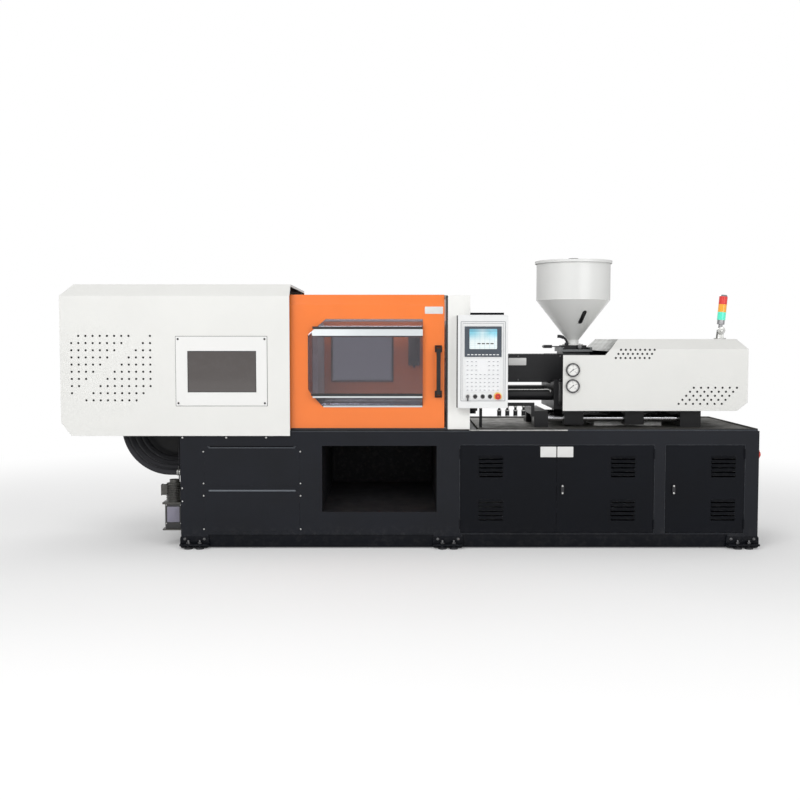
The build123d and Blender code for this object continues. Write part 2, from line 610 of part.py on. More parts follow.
def crosshead_link(side):
    """Short link from the rear link's ear to the crosshead."""
    pin = (CROSS_PIN_X, AXIS_Z + side * PIN_Z)
    ear = (EAR_X, AXIS_Z + side * EAR_Z)
    plate = link_outline(pin, ear, EAR_LINK_W, EAR_BOSS_R)
    half = along_y(plate - Pos(*pin) * Circle(EAR_PIN_R + RUN) - Pos(*ear) * Circle(EAR_PIN_R + RUN), *LAYER[0])
    half += rod_y(EAR_BOSS_R, 0, LAYER[0][0], *ear)
    return both_sides(half)


def crosshead():
    """Crosshead on the clamp cylinder's rod."""
    body = along_y(Pos(CROSS_PIN_X, AXIS_Z) * RectangleRounded(2 * CROSS_X, 2 * CROSS_TOP, 20), 0, CROSS_T)
    for side in (-1, 1):
        body += rod_y(EAR_PIN_R, 0, LAYER[0][1], CROSS_PIN_X, AXIS_Z + side * PIN_Z)
    tail = CROSS_PIN_X - CROSS_X - ROD_TAIL
    return both_sides(body) + rod_x(ROD_R, tail, CROSS_PIN_X - CROSS_X + 20)


def clamp_cylinder():
    """Hydraulic cylinder behind the rear platen."""
    flange = 2 * CYL_FLANGE
    body = along_x(Pos(0, AXIS_Z) * RectangleRounded(flange, flange, 20), REAR_BACK - CYL_FLANGE_T, REAR_BACK)
    body += rod_x(CYL_R, REAR_BACK - CYL_LEN, REAR_BACK)
    cap = 2 * CYL_CAP
    body += along_x(Pos(0, AXIS_Z) * RectangleRounded(cap, cap, 16), REAR_BACK - CYL_LEN - 50,
                    REAR_BACK - CYL_LEN)
    return body - rod_x(ROD_R + RUN, REAR_BACK - CYL_LEN + 10, REAR_BACK + 1)


def hood(side, end):
    """Solid bounded by a side outline (X, Z) and an end outline (Y, Z)."""
    width = max(abs(vertex.X) for vertex in end.vertices())
    xs = [vertex.X for vertex in side.vertices()]
    return along_y(side, -width, width) & along_x(end, min(xs), max(xs))


def inset(shape, amount):
    return offset(shape, amount=-amount, kind=Kind.INTERSECTION)


def clamp_cover():
    """Folded hood over the clamp, open to the door side and below, with its vent holes."""
    x, z = COVER_X, COVER_Z
    side = outline((x[0] + COVER_FOOT[0], z[0]), (x[1], z[0]), (x[1], z[1]), (x[0] + COVER_BEVEL, z[1]),
                   (x[0], COVER_EAVE), (x[0], z[0] + COVER_FOOT[1]))
    roof = COVER_Y - (z[1] - COVER_EAVE)
    end = outline((-COVER_Y, z[0]), (COVER_Y, z[0]), (COVER_Y, COVER_EAVE), (roof, z[1]), (-roof, z[1]),
                  (-COVER_Y, COVER_EAVE))
    shell = hood(side, end) - hood(inset(side, SHEET), inset(end, SHEET))
    inner = inset(end, SHEET)
    shell -= along_x(inner, x[1] - SHEET - 1, x[1] + 1)
    inside = COVER_Y - SHEET
    shell -= block((x[0] + COVER_FOOT[0] + 2, x[1] + 1), (-inside, inside), (z[0] - 1, z[0] + SHEET + 1))
    for column in range(GRILLE_COLS):
        for row in range(GRILLE_ROWS):
            step = column + row
            if 1 <= step <= GRILLE_COLS + GRILLE_ROWS - 4 and step not in GRILLE_GAP:
                hole_x = GRILLE_X + column * GRILLE_PITCH
                hole_z = GRILLE_Z - row * GRILLE_PITCH
                shell -= hexagon_hole(hole_x, hole_z, -COVER_Y - 1, -inside + 1)
    shell -= block((GLASS_X[0] - GLASS_LAP, GLASS_X[1] + GLASS_LAP), (-COVER_Y - 1, -inside + 1),
                   (GLASS_Z[0] - GLASS_LAP, GLASS_Z[1] + GLASS_LAP))
    frame = block(FRAME_X, (-COVER_Y - SHEET, -COVER_Y), FRAME_Z)
    frame -= block(GLASS_X, (-COVER_Y - SHEET - 1, -COVER_Y + 1), GLASS_Z)
    return [shell, frame, hose_bulkhead()]


def clamp_window():
    """Dark pane behind the screwed frame plate of the clamp cover."""
    return block((GLASS_X[0] - GLASS_LAP, GLASS_X[1] + GLASS_LAP), (-COVER_Y, -COVER_Y + GLASS_T),
                 (GLASS_Z[0] - GLASS_LAP, GLASS_Z[1] + GLASS_LAP))


def column_cover():
    """Sheet portal over the fixed platen: two legs and a bridge, open towards the platen."""
    x, z = COLUMN_X, COLUMN_Z
    outer = block(x, (-COLUMN_Y, COLUMN_Y), (BASE_TOP + 0.0, z[1]))
    outer -= block((x[0] + SHEET, x[1] - SHEET), (-COLUMN_Y + SHEET, COLUMN_Y - SHEET), (BASE_TOP - 1, z[1] - SHEET))
    platen = COLUMN_Y - COLUMN_LEG
    outer -= block((x[0] - 1, x[1] + 1), (-platen, platen), (BASE_TOP - 1, AXIS_Z + PLATEN + 8))
    # recessed plinth
    for side in (-1, 1):
        y = (side * (COLUMN_Y - PLINTH), side * (COLUMN_Y + 1))
        outer -= block((x[0] - 1, x[1] + 1), y, (BASE_TOP - 1, z[0]))
        outer += block((x[0], x[1]), (side * (COLUMN_Y - PLINTH - SHEET), side * (COLUMN_Y - PLINTH)),
                       (BASE_TOP, z[0] + SHEET))
        outer += block((x[0], x[1]), (side * (COLUMN_Y - PLINTH - SHEET), side * COLUMN_Y), (z[0], z[0] + SHEET))
    return outer


def door_rails():
    """Top rails and bottom guides of the two sliding doors."""
    top = GATE_TOP - SHEET - SEAT
    roof = COVER_Z[1] - SHEET
    web = RAIL_IN - 12
    long_profile = outline((-RAIL_OUT, RAIL_Z0), (-web + 6, RAIL_Z0), (-web + 6, roof), (-web, roof),
                           (-web, RAIL_Z0 + 14), (-RAIL_IN, RAIL_Z0 + 14), (-RAIL_IN, top), (-RAIL_OUT, top))
    short_profile = outline((-RAIL_OUT, RAIL_Z0), (-web + 6, RAIL_Z0), (-web + 6, RAIL_Z0 + 14),
                            (-RAIL_IN, RAIL_Z0 + 14), (-RAIL_IN, top), (-RAIL_OUT, top))
    rail = along_x(long_profile, RAIL_X0, RAIL_BREAK) + along_x(short_profile, RAIL_BREAK, COLUMN_X[0])
    face = GATE_Y - SHEET - SEAT
    guide = block((BASE_X0 + 20, COLUMN_X[0]), (-face, -face + GUIDE_T), (BASE_TOP, BASE_TOP + GUIDE_H))
    return [rail, guide, mirror(rail, Plane.XZ), mirror(guide, Plane.XZ)]


def gate_skin():
    """Folded door sheet of the operator's side, without its window."""
    profile = sheet_strip(((-GATE_Y + GATE_RETURN, GATE_Z0), (-GATE_Y, GATE_Z0), (-GATE_Y, GATE_EAVE),
                           (-GATE_Y + GATE_LEAN, GATE_TOP), (-GATE_Y + GATE_LEAN + GATE_FLANGE, GATE_TOP))[::-1],
                          SHEET)
    skin = along_x(profile, *GATE_X)
    # the lower return is cut back so that the door passes its guide
    skin -= block((GATE_X[0] - 1, GATE_X[1] + 1), (-GATE_Y + SHEET, -GATE_Y + GATE_RETURN + 1),
                  (GATE_Z0 - 1, BASE_TOP + GUIDE_H + 4))
    for x in ((GATE_X[0], GATE_X[0] + SHEET), (GATE_X[1] - SHEET, GATE_X[1])):
        skin += block(x, (-GATE_Y, -GATE_Y + GATE_RETURN), (BASE_TOP + GUIDE_H + 6, GATE_EAVE))
    return skin


def front_door():
    """Operator's safety door with the opening of its bay window."""
    return gate_skin() - along_y(outline(*BAY_WINDOW), -GATE_Y - 1, -GATE_Y + SHEET + 1)


def front_door_pane():
    """Smoky bay window: slanted top, front and foot, with a flange behind the door sheet."""
    face = -GATE_Y - BAY_OUT
    back = -GATE_Y + SHEET
    shape = outline(*BAY_WINDOW)
    low, high = BAY_WINDOW[4][1], BAY_WINDOW[2][1]
    left, right = BAY_WINDOW[0][0], BAY_WINDOW[3][0]
    profile = outline((back, high), (-GATE_Y, high), (face + 10, high - 71), (face, high - 117), (face, low + 69),
                      (-GATE_Y, low), (back, low))
    plan = outline((left, back), (left, -GATE_Y), (left + 34, face), (right, face), (right, back))

    def bay(shrink):
        solid = along_y(inset(shape, shrink) if shrink else shape, face, back)
        solid &= along_x(inset(profile, shrink) if shrink else profile, left, right)
        return solid & along_z(inset(plan, shrink) if shrink else plan, low, high)

    pane = bay(0.0) - bay(PANE)
    pane -= along_y(inset(shape, PANE), -GATE_Y - 3, back + 1)
    flange = along_y(inset(shape, -PANE_LAP) - inset(shape, PANE), back, back + PANE)
    return pane + flange


def bow_handle(x, z, face, out):
    """Black bow handle: two feet and a bar, standing out of a door's face towards -Y."""
    sketch = outline((0, z[0]), (out, z[0] + 22), (out, z[1] - 22), (0, z[1]), (0, z[1] - GRIP_FOOT_H + 14),
                     (out - 22, z[1] - GRIP_FOOT_H), (out - 22, z[0] + GRIP_FOOT_H), (0, z[0] + GRIP_FOOT_H - 14))
    bow = along_x(sketch, x - GRIP_BAR_W / 2, x + GRIP_BAR_W / 2)
    for foot in (z[0], z[1] - GRIP_FOOT_H + 14):
        bow += block((x - GRIP_FOOT_W / 2, x + GRIP_FOOT_W / 2), (0, 12), (foot, foot + GRIP_FOOT_H - 14))
    return Pos(0, face, 0) * mirror(bow, Plane.XZ)


def front_door_handle():
    return bow_handle(GRIP_X, GRIP_Z, -GATE_Y, GRIP_OUT)


def rear_door():
    """Safety door of the far side, with a flat window and its handle."""
    skin = gate_skin()
    skin -= block(REAR_WINDOW_X, (-GATE_Y - 1, -GATE_Y + SHEET + 1), REAR_WINDOW_Z)
    skin += bow_handle(GRIP_X - 30, GRIP_Z, -GATE_Y, REAR_GRIP_OUT)
    return mirror(skin, Plane.XZ)


def rear_door_pane():
    y = (GATE_Y - SHEET - PANE, GATE_Y - SHEET)
    return block((REAR_WINDOW_X[0] - PANE_LAP, REAR_WINDOW_X[1] + PANE_LAP), y,
                 (REAR_WINDOW_Z[0] - PANE_LAP, REAR_WINDOW_Z[1] + PANE_LAP))


def cabinet_door(span, vent_x, hinge_right):
    """Folded cabinet door with two louvred vents and a knuckle strip at its hinge."""
    leaf = block(span, (-BASE_Y, -BASE_Y + LEAF_DEPTH), DOOR_Z)
    leaf -= block((span[0] + LEAF_SHEET, span[1] - LEAF_SHEET), (-BASE_Y + LEAF_SHEET, -BASE_Y + LEAF_DEPTH + 1),
                  (DOOR_Z[0] + LEAF_SHEET, DOOR_Z[1] - LEAF_SHEET))
    pitch = VENT_H / VENT_SLOTS
    for middle in VENT_Z:
        for slot in range(VENT_SLOTS):
            z = middle + (slot - (VENT_SLOTS - 1) / 2) * pitch
            leaf -= block((vent_x - VENT_W / 2, vent_x + VENT_W / 2), (-BASE_Y - 1, -BASE_Y + LEAF_SHEET + 1),
                          (z - pitch * 0.22, z + pitch * 0.22))
    hinge_x = span[1] if hinge_right else span[0]
    for z in (DOOR_Z[0] + 60, DOOR_Z[1] - 60):
        leaf += rod_z(HINGE_R, z - 35, z + 35, hinge_x, -BASE_Y - HINGE_R + 1)
    return leaf


def door_lock(x):
    """Swing handle of a cabinet door's lock, on a short round neck."""
    y = -BASE_Y
    neck = rod_y(9.0, y - 4, y, x, LOCK_Z + LOCK_LEN / 2 - 14)
    paddle = Pos(x, LOCK_Z) * RectangleRounded(LOCK_W, LOCK_LEN, 9)
    return neck + along_y(paddle, y - LOCK_DEPTH, y - 4)


def panel_housing():
    """Operator panel's box with its raised rim, keypad, bezels and the sockets of its switches."""
    box = fillet(block(BOX_X, (-BOX_Y[0], -BOX_Y[1]), BOX_Z).edges().filter_by(Axis.Y), 10)
    front = PANEL_FRONT
    rim = block(RIM_X, (front - RIM_T, front), RIM_Z)
    rim -= block((RIM_X[0] + RIM_W, RIM_X[1] - RIM_W), (front - RIM_T - 1, front),
                 (RIM_Z[0] + RIM_W, RIM_Z[1] - RIM_W))
    box += rim
    box += block(PAD_X, (front - PAD_T, front), PAD_Z)
    for x in (KEY_X, *BUTTON_X):
        box += rod_y(BEZEL_R, front - BEZEL_T, front, x, ROW_Z)
    box += rod_y(STOP_PLATE_R, front - PAD_T, front, STOP_X, ROW_Z)
    for x in (KEY_X, *BUTTON_X):
        box -= rod_y(BUTTON_R + SEAT, front - BEZEL_T - 1, front + SOCKET, x, ROW_Z)
    box -= rod_y(STOP_STEM_R + SEAT, front - PAD_T - 1, front + SOCKET + 6, STOP_X, ROW_Z)
    hood_y = (front + 10, front + 60)
    box += block(HOOD_X, hood_y, (BOX_Z[1], BOX_Z[1] + HOOD_H))
    return box


def panel_screen():
    return block(SCREEN_X, (PANEL_FRONT - SCREEN_T, PANEL_FRONT), SCREEN_Z)


def push_button(x):
    """Round button that travels into its socket."""
    return rod_y(BUTTON_R, PANEL_FRONT - BUTTON_OUT, PANEL_FRONT + SOCKET - BUTTON_TRAVEL - 1, x, ROW_Z)


def key_switch():
    """Key barrel with the key in it; the bow of the key hangs below the barrel."""
    front = PANEL_FRONT
    barrel = rod_y(BUTTON_R, front - BEZEL_T - 3, front + SOCKET - 1, KEY_X, ROW_Z)
    key = Pos(KEY_X, ROW_Z - 12) * RectangleRounded(10, 40, 4)
    return barrel + along_y(key, front - BEZEL_T - 9, front - BEZEL_T - 3)


def emergency_stop():
    """Mushroom head on its stem."""
    front = PANEL_FRONT
    profile = outline((0, -SOCKET - 6 + STOP_TRAVEL + 1), (STOP_STEM_R, -SOCKET - 6 + STOP_TRAVEL + 1),
                      (STOP_STEM_R, 12), (STOP_R, 14), (STOP_R, STOP_OUT - 6), (STOP_R - 7, STOP_OUT), (0, STOP_OUT))
    head = revolve(Plane.XZ * profile, Axis.Z)
    return Pos(STOP_X, front, ROW_Z) * Rot(90, 0, 0) * head


def carriage_rails():
    """Guide bars of the injection carriage with their supports, and the fixed rods of its cylinders."""
    pieces = []
    for x in (SUPPORT_FRONT, SUPPORT_REAR):
        support = block(x, (-330, 330), (DECK_TOP, SUPPORT_TOP)) - block(
            (x[0] - 1, x[1] + 1), (-170, 170), (DECK_TOP - 1, SUPPORT_TOP - 40))
        support -= [rod_x(RAIL_BAR_R, x[0] - 1, x[1] + 1, y, RAIL_BAR_Z) for y in (-RAIL_BAR_Y, RAIL_BAR_Y)]
        pieces.append(support)
    for y in (-RAIL_BAR_Y, RAIL_BAR_Y):
        pieces.append(rod_x(RAIL_BAR_R - RUN, SUPPORT_FRONT[0], SUPPORT_REAR[1], y, RAIL_BAR_Z))
    for y in (-SHIFT_CYL_Y, SHIFT_CYL_Y):
        pieces.append(rod_x(SHIFT_ROD_R, FIXED_X[1], SHIFT_CYL_X[1] - 60, y, SHIFT_CYL_Z))
    return pieces


def water_manifold():
    """Cooling-water bar behind the fixed platen with four hanging hose connectors."""
    y, z, half = -318.0, 1004.0, 12.0
    side = (y - half, y + half)
    bar = block((500.0, SUPPORT_FRONT[0]), side, (z - half, z + half))
    bar += block((500.0, 520.0), side, (DECK_TOP, z))
    bar += block((SUPPORT_FRONT[0] - 24, SUPPORT_FRONT[0]), side, (SUPPORT_TOP - 40, z))
    for index in range(4):
        x = 645.0 + 59.0 * index
        bar += rod_z(9.0, z - 40, z - 11, x, y)
        bar += rod_z(15.0, z - 84, z - 40, x, y)
    return bar


def carriage_base():
    """Carriage of the injection unit: bed, slider blocks on the bars and the front plate."""
    bed_y = UNIT_Y - SHEET
    bed = block(BED_X, (-330, 330), BED_Z) + block((UNIT_X[0] + 20, BED_X[1]), (-bed_y, bed_y), BED_Z)
    for x in SLIDER:
        for y in (-RAIL_BAR_Y, RAIL_BAR_Y):
            bed += block(x, (y - 55, y + 55), (RAIL_BAR_Z - 45, BED_Z[0] + 1))
            bed -= rod_x(RAIL_BAR_R, x[0] - 1, x[1] + 1, y, RAIL_BAR_Z)
    front = block((BED_X[0], BED_X[0] + 36), (-330, 330), (BED_Z[0], FRONT_PLATE_TOP))
    throat = (-GUARD_Y - 10, GUARD_Y + 10)
    front -= block((BED_X[0] - 1, BED_X[0] + 37), throat, (GUARD_Z[0] - 10, FRONT_PLATE_TOP + 1))
    return bed + front


def carriage_cylinders():
    """The two cylinders that draw the carriage towards the fixed platen."""
    pieces = []
    for y in (-SHIFT_CYL_Y, SHIFT_CYL_Y):
        body = rod_x(SHIFT_CYL_R, *SHIFT_CYL_X, y, SHIFT_CYL_Z)
        body += block((SHIFT_CYL_X[0], SHIFT_CYL_X[0] + 40), (y - 50, y + 50), (SHIFT_CYL_Z - 50, SHIFT_CYL_Z + 50))
        body -= rod_x(SHIFT_ROD_R + RUN, SHIFT_CYL_X[0] - 1, SHIFT_CYL_X[1] - 5, y, SHIFT_CYL_Z)
        pieces.append(body)
    return pieces


def barrel():
    """Heated barrel with its nozzle, three heater bands and the feed hole."""
    profile = [(NOZZLE_X, NOZZLE_TIP_R), (NOZZLE_X + 26, NOZZLE_HEX_R), (BARREL_X0, NOZZLE_HEX_R + 8),
               (BARREL_X0, BARREL_R)]
    for start, end in BANDS:
        profile += [(start, BARREL_R), (start, BAND_R), (end, BAND_R), (end, BARREL_R)]
    profile += [(FEED_X[1], BARREL_R), (FEED_X[1], SCREW_R + RUN), (BARREL_X0 + 20, SCREW_R + RUN),
                (BARREL_X0 + 5, 4.0), (NOZZLE_X, 4.0)]
    body = Pos(0, 0, AXIS_Z) * revolve(Plane.XZ * outline(*profile), Axis.X)
    return body - rod_z(THROAT_R - 5, AXIS_Z, AXIS_Z + BARREL_R + 5, HOPPER_X)


def barrel_guard():
    """Folded channel over the heated barrel."""
    channel = sheet_strip(((-GUARD_Y, GUARD_Z[0]), (-GUARD_Y, GUARD_Z[1]), (GUARD_Y, GUARD_Z[1]),
                           (GUARD_Y, GUARD_Z[0])), -GUARD_T)
    return along_x(channel, *GUARD_X)


def injection_housing():
    """Feed casting that holds the barrel, with the slideway of the hopper and the injection cylinders."""
    shape = outline((-FEED_Y, BED_Z[1]), (FEED_Y, BED_Z[1]), (FEED_Y, 1330), (120, FEED_TOP), (-120, FEED_TOP),
                    (-FEED_Y, 1330))
    body = along_x(shape, *FEED_X)
    body += block((SLIDE_FLANGE_X[0] - GIB_W - SEAT, SLIDE_FLANGE_X[1] + GIB_W + SEAT), (-190, 150),
                  (FEED_TOP - 10, FEED_TOP + 6))
    seat = FEED_TOP + 6
    for side, x in ((-1, SLIDE_FLANGE_X[0] - SEAT), (1, SLIDE_FLANGE_X[1] + SEAT)):
        gib = outline((x, seat), (x, seat + SLIDE_FLANGE_T + 2 * SEAT), (x - side * 8, seat + SLIDE_FLANGE_T + 2 * SEAT),
                      (x - side * 8, seat + SLIDE_FLANGE_T + 9), (x + side * GIB_W, seat + SLIDE_FLANGE_T + 9),
                      (x + side * GIB_W, seat))
        body += along_y(gib, -190, 150)
    body -= rod_x(BARREL_R + RUN, FEED_X[0] - 1, FEED_X[1] + 1)
    body -= rod_z(THROAT_R, AXIS_Z, FEED_TOP + 7, HOPPER_X)
    for y in (-PUSH_CYL_Y, PUSH_CYL_Y):
        body += rod_x(PUSH_CYL_R, FEED_X[1] - 1, PUSH_CYL_END, y)
        body -= rod_x(PUSH_ROD_R + RUN, FEED_X[1] + 10, PUSH_CYL_END + 1, y)
    return body


def injection_drive():
    """Thrust housing with the screw's hydraulic motor and the two piston rods."""
    shape = outline((-150, BED_Z[1] + SEAT), (150, BED_Z[1] + SEAT), (190, 1100), (190, AXIS_Z + 70),
                    (120, AXIS_Z + 130), (-120, AXIS_Z + 130), (-190, AXIS_Z + 70), (-190, 1100))
    body = along_x(shape, *THRUST_X)
    body += rod_x(MOTOR_R, THRUST_X[1], MOTOR_END - 60) + rod_x(MOTOR_R - 25, MOTOR_END - 61, MOTOR_END)
    body -= rod_x(SCREW_R + RUN, THRUST_X[0] - 1, THRUST_X[0] + 60)
    for y in (-PUSH_CYL_Y, PUSH_CYL_Y):
        body += rod_x(PUSH_ROD_R, FEED_X[1] + 15, THRUST_X[0] + 1, y)
    return body


def screw():
    """Plasticising screw, from its tip in the barrel to its coupling in the thrust housing."""
    profile = outline((BARREL_X0 + 14, 0), (BARREL_X0 + 60, SCREW_R - 8), (BARREL_X0 + 60, SCREW_R),
                      (BARREL_X0 + 100, SCREW_R), (BARREL_X0 + 100, SCREW_R - 5), (HOPPER_X + 60, SCREW_R - 7),
                      (HOPPER_X + 60, SCREW_R), (THRUST_X[0] + 55, SCREW_R), (THRUST_X[0] + 55, 0))
    return Pos(0, 0, AXIS_Z) * revolve(Plane.XZ * profile, Axis.X)


def hole_field(field):
    """Perforation: rows of holes, each row shifted to the left of the one above."""
    x0, z0, pitch, drop, shift, rows, columns = field
    return [hexagon_hole(x0 + column * pitch - row * shift, z0 - row * drop, -UNIT_Y - 1, -UNIT_Y + SHEET + 1)
            for row in range(rows) for column in range(columns)]


def injection_cover():
    """Hood over the injection unit: two cheeks, roof and end, with vents and the gauges' cases."""
    side = outline(*UNIT_OUTLINE)
    ridge = UNIT_Y - UNIT_BEVEL
    bottom = UNIT_OUTLINE[0][1]
    end = outline((-UNIT_Y, bottom), (UNIT_Y, bottom), (UNIT_Y, UNIT_EAVE), (ridge, UNIT_TOP), (-ridge, UNIT_TOP),
                  (-UNIT_Y, UNIT_EAVE))
    shell = hood(side, end) - hood(inset(side, SHEET), inset(end, SHEET))
    inside = UNIT_Y - SHEET
    # open at the barrel's end, below, and over the feed casting
    shell -= block((UNIT_X[0] - 1, UNIT_X[0] + SHEET + 1), (-inside, inside), (bottom - 1, UNIT_TOP))
    shell -= block((UNIT_X[0] - 1, UNIT_OUTLINE[1][0] - 2), (-inside, inside), (bottom - 1, bottom + SHEET + 1))
    shell -= block((UNIT_X[0] - 1, UNIT_OUTLINE[5][0]), (-inside, inside), (UNIT_OUTLINE[6][1] - SHEET - 2, STEP_LIP))
    shell -= hole_field(UPPER_HOLES) + hole_field(LOWER_HOLES)
    for z in GAUGE_Z:
        case = rod_y(GAUGE_R, -UNIT_Y - GAUGE_OUT, -UNIT_Y + SHEET, GAUGE_X, z)
        shell += case - rod_y(GAUGE_R - GAUGE_RIM, -UNIT_Y - GAUGE_OUT - 1, -UNIT_Y - GAUGE_OUT + DIAL_BACK, GAUGE_X, z)
    return shell


def gauge_needle(z):
    """Pointer on its hub, just over the dial."""
    dial = -UNIT_Y - GAUGE_OUT + DIAL_BACK
    hand = outline((GAUGE_X - 2.5, z - 12), (GAUGE_X + 2.5, z - 12), (GAUGE_X + 0.8, z + 34), (GAUGE_X - 0.8, z + 34))
    pointer = along_y(hand + Pos(GAUGE_X, z) * Circle(5), dial - SEAT - NEEDLE_T, dial - SEAT)
    return Pos(GAUGE_X, 0, z) * Rot(0, -NEEDLE_REST, 0) * Pos(-GAUGE_X, 0, -z) * pointer


def hopper_wall(grow):
    """Closed profile of the hopper's outer form, grown by an amount."""
    return [(NECK_R + grow, NECK_END - 1), (NECK_R + grow, CONE_END), (HOPPER_R + grow, CONE_TOP),
            (HOPPER_R + grow, RIM_TOP)]


def sight_slot():
    """Pill-shaped prism through the front of the cone."""
    pill = Pos(0, SLOT_Z) * Rot(0, 0, -8) * SlotOverall(SLOT_LEN, SLOT_W, rotation=90)
    return Pos(HOPPER_X, 0, 0) * Rot(0, 0, SLOT_TURN) * along_y(pill, -HOPPER_R, -NECK_R)


def hopper():
    """Sheet hopper: drum, cone, neck and flange, with a sight glass in the cone."""
    outer = hopper_wall(0.0)
    inner = hopper_wall(-HOPPER_WALL)
    profile = outline(*outer[1:], (HOPPER_R + RIM_ROLL, RIM_TOP),
                      (HOPPER_R + RIM_ROLL, RIM_TOP + RIM_ROLL_T), (inner[3][0], RIM_TOP + RIM_ROLL_T),
                      *reversed(inner[1:3]), (inner[0][0], NECK_END - FLANGE_T), (FLANGE_R, NECK_END - FLANGE_T),
                      (FLANGE_R, NECK_END), (NECK_R, NECK_END))
    shell = Pos(HOPPER_X, 0, 0) * revolve(Plane.XZ * profile, Axis.Z)
    glass = shell & sight_slot()
    return [shell - sight_slot(), *glass.solids()]


def hopper_lid():
    """Lid with its skirt outside the hopper's rim and a flat knob."""
    under = RIM_TOP + RIM_ROLL_T + SEAT
    boss = under + LID_T + LID_BOSS
    knob_top = RIM_TOP + KNOB_RISE
    profile = outline((0, under), (LID_R, under), (LID_R, under - LID_SKIRT), (LID_R + 3, under - LID_SKIRT),
                      (LID_R + 3, under + LID_T), (KNOB_R, boss), (KNOB_R, knob_top), (0, knob_top))
    return Pos(HOPPER_X, 0, 0) * revolve(Plane.XZ * profile, Axis.Z)


def hopper_slide():
    """Sliding foot under the hopper, with the slot of the shut-off gate."""
    seat = FEED_TOP + 6 + SEAT
    top = NECK_END - FLANGE_T
    foot = block(SLIDE_X, (-SLIDE_Y, SLIDE_Y), (seat, top))
    foot += block(SLIDE_FLANGE_X, (-SLIDE_Y, SLIDE_Y), (seat, seat + SLIDE_FLANGE_T))
    foot -= rod_z(THROAT_R, seat - 1, top + 1, HOPPER_X)
    slot = GATE_SLOT_Z
    foot -= block((SLIDE_X[0] - 1, GATE_PLATE_X[1] + SEAT), (-GATE_PLATE_Y - SEAT, GATE_PLATE_Y + SEAT),
                  (slot, slot + GATE_PLATE_T + 2 * SEAT))
    return foot


def hopper_gate():
    """Shut-off plate in the slide, pulled by the grip at its left-hand end."""
    z = GATE_SLOT_Z + SEAT
    plate = block(GATE_PLATE_X, (-GATE_PLATE_Y, GATE_PLATE_Y), (z, z + GATE_PLATE_T))
    plate -= rod_z(THROAT_R, z - 1, z + GATE_PLATE_T + 1, HOPPER_X)
    x = GATE_PLATE_X[0]
    plate += block((x - 62, x), (-7, 7), (z, z + GATE_PLATE_T)) + rod_y(11.0, -45, 45, x - 62, z + GATE_PLATE_T / 2)
    return plate


def tower_foot():
    """Flange and clevis of the signal tower, on the injection cover's roof."""
    foot = rod_z(TOWER_FOOT_R, UNIT_TOP, UNIT_TOP + TOWER_FOOT_T, TOWER_X, TOWER_Y)
    low = UNIT_TOP + TOWER_FOOT_T - 1
    ear = Pos(TOWER_X, TOWER_PIVOT_Z) * Circle(18)
    ear += outline((TOWER_X - 24, low), (TOWER_X + 24, low), (TOWER_X + 18, TOWER_PIVOT_Z),
                   (TOWER_X - 18, TOWER_PIVOT_Z))
    for side in (-1, 1):
        inner = TOWER_Y + side * TOWER_EAR_GAP
        outer = inner + side * TOWER_EAR_T
        foot += along_y(ear, min(inner, outer), max(inner, outer))
    return foot - rod_y(6 + RUN, TOWER_Y - 30, TOWER_Y + 30, TOWER_X, TOWER_PIVOT_Z)


def signal_tower():
    """Stem on its pivot pin with the three stacked lenses."""
    gap = TOWER_EAR_GAP - SEAT
    pivot = rod_y(18.0, -gap, gap, 0, 0) + rod_y(6.0, -TOWER_EAR_GAP - TOWER_EAR_T - 3,
                                                 TOWER_EAR_GAP + TOWER_EAR_T + 3, 0, 0)
    stem = pivot + rod_z(15.0, 10, 46, 0) + rod_z(TOWER_R - 3, 45, 78, 0)
    pieces = [stem]
    for index in range(3):
        z = 78 + index * LENS_H
        pieces.append(rod_z(TOWER_R, z, z + LENS_H, 0))
    cap = outline((0, 78 + 3 * LENS_H), (TOWER_R - 1, 78 + 3 * LENS_H), (TOWER_R - 8, 78 + 3 * LENS_H + 12),
                  (0, 78 + 3 * LENS_H + 12))
    pieces.append(revolve(Plane.XZ * cap, Axis.Z))
    place = Pos(TOWER_X, TOWER_Y, TOWER_PIVOT_Z) * Rot(0, TOWER_LEAN, 0)
    return [place * piece for piece in pieces]


def isolator_knob():
    """Rotary main switch: disc with a raised grip."""
    x = BASE_X1 + ISOLATOR_PLATE_T
    disc = rod_x(ISOLATOR_R, x, x + 7, ISOLATOR_Y, ISOLATOR_Z)
    grip = block((x + 6, BASE_X1 + ISOLATOR_OUT), (ISOLATOR_Y - 7, ISOLATOR_Y + 7),
                 (ISOLATOR_Z - ISOLATOR_R + 2, ISOLATOR_Z + ISOLATOR_R - 2))
    return disc + grip


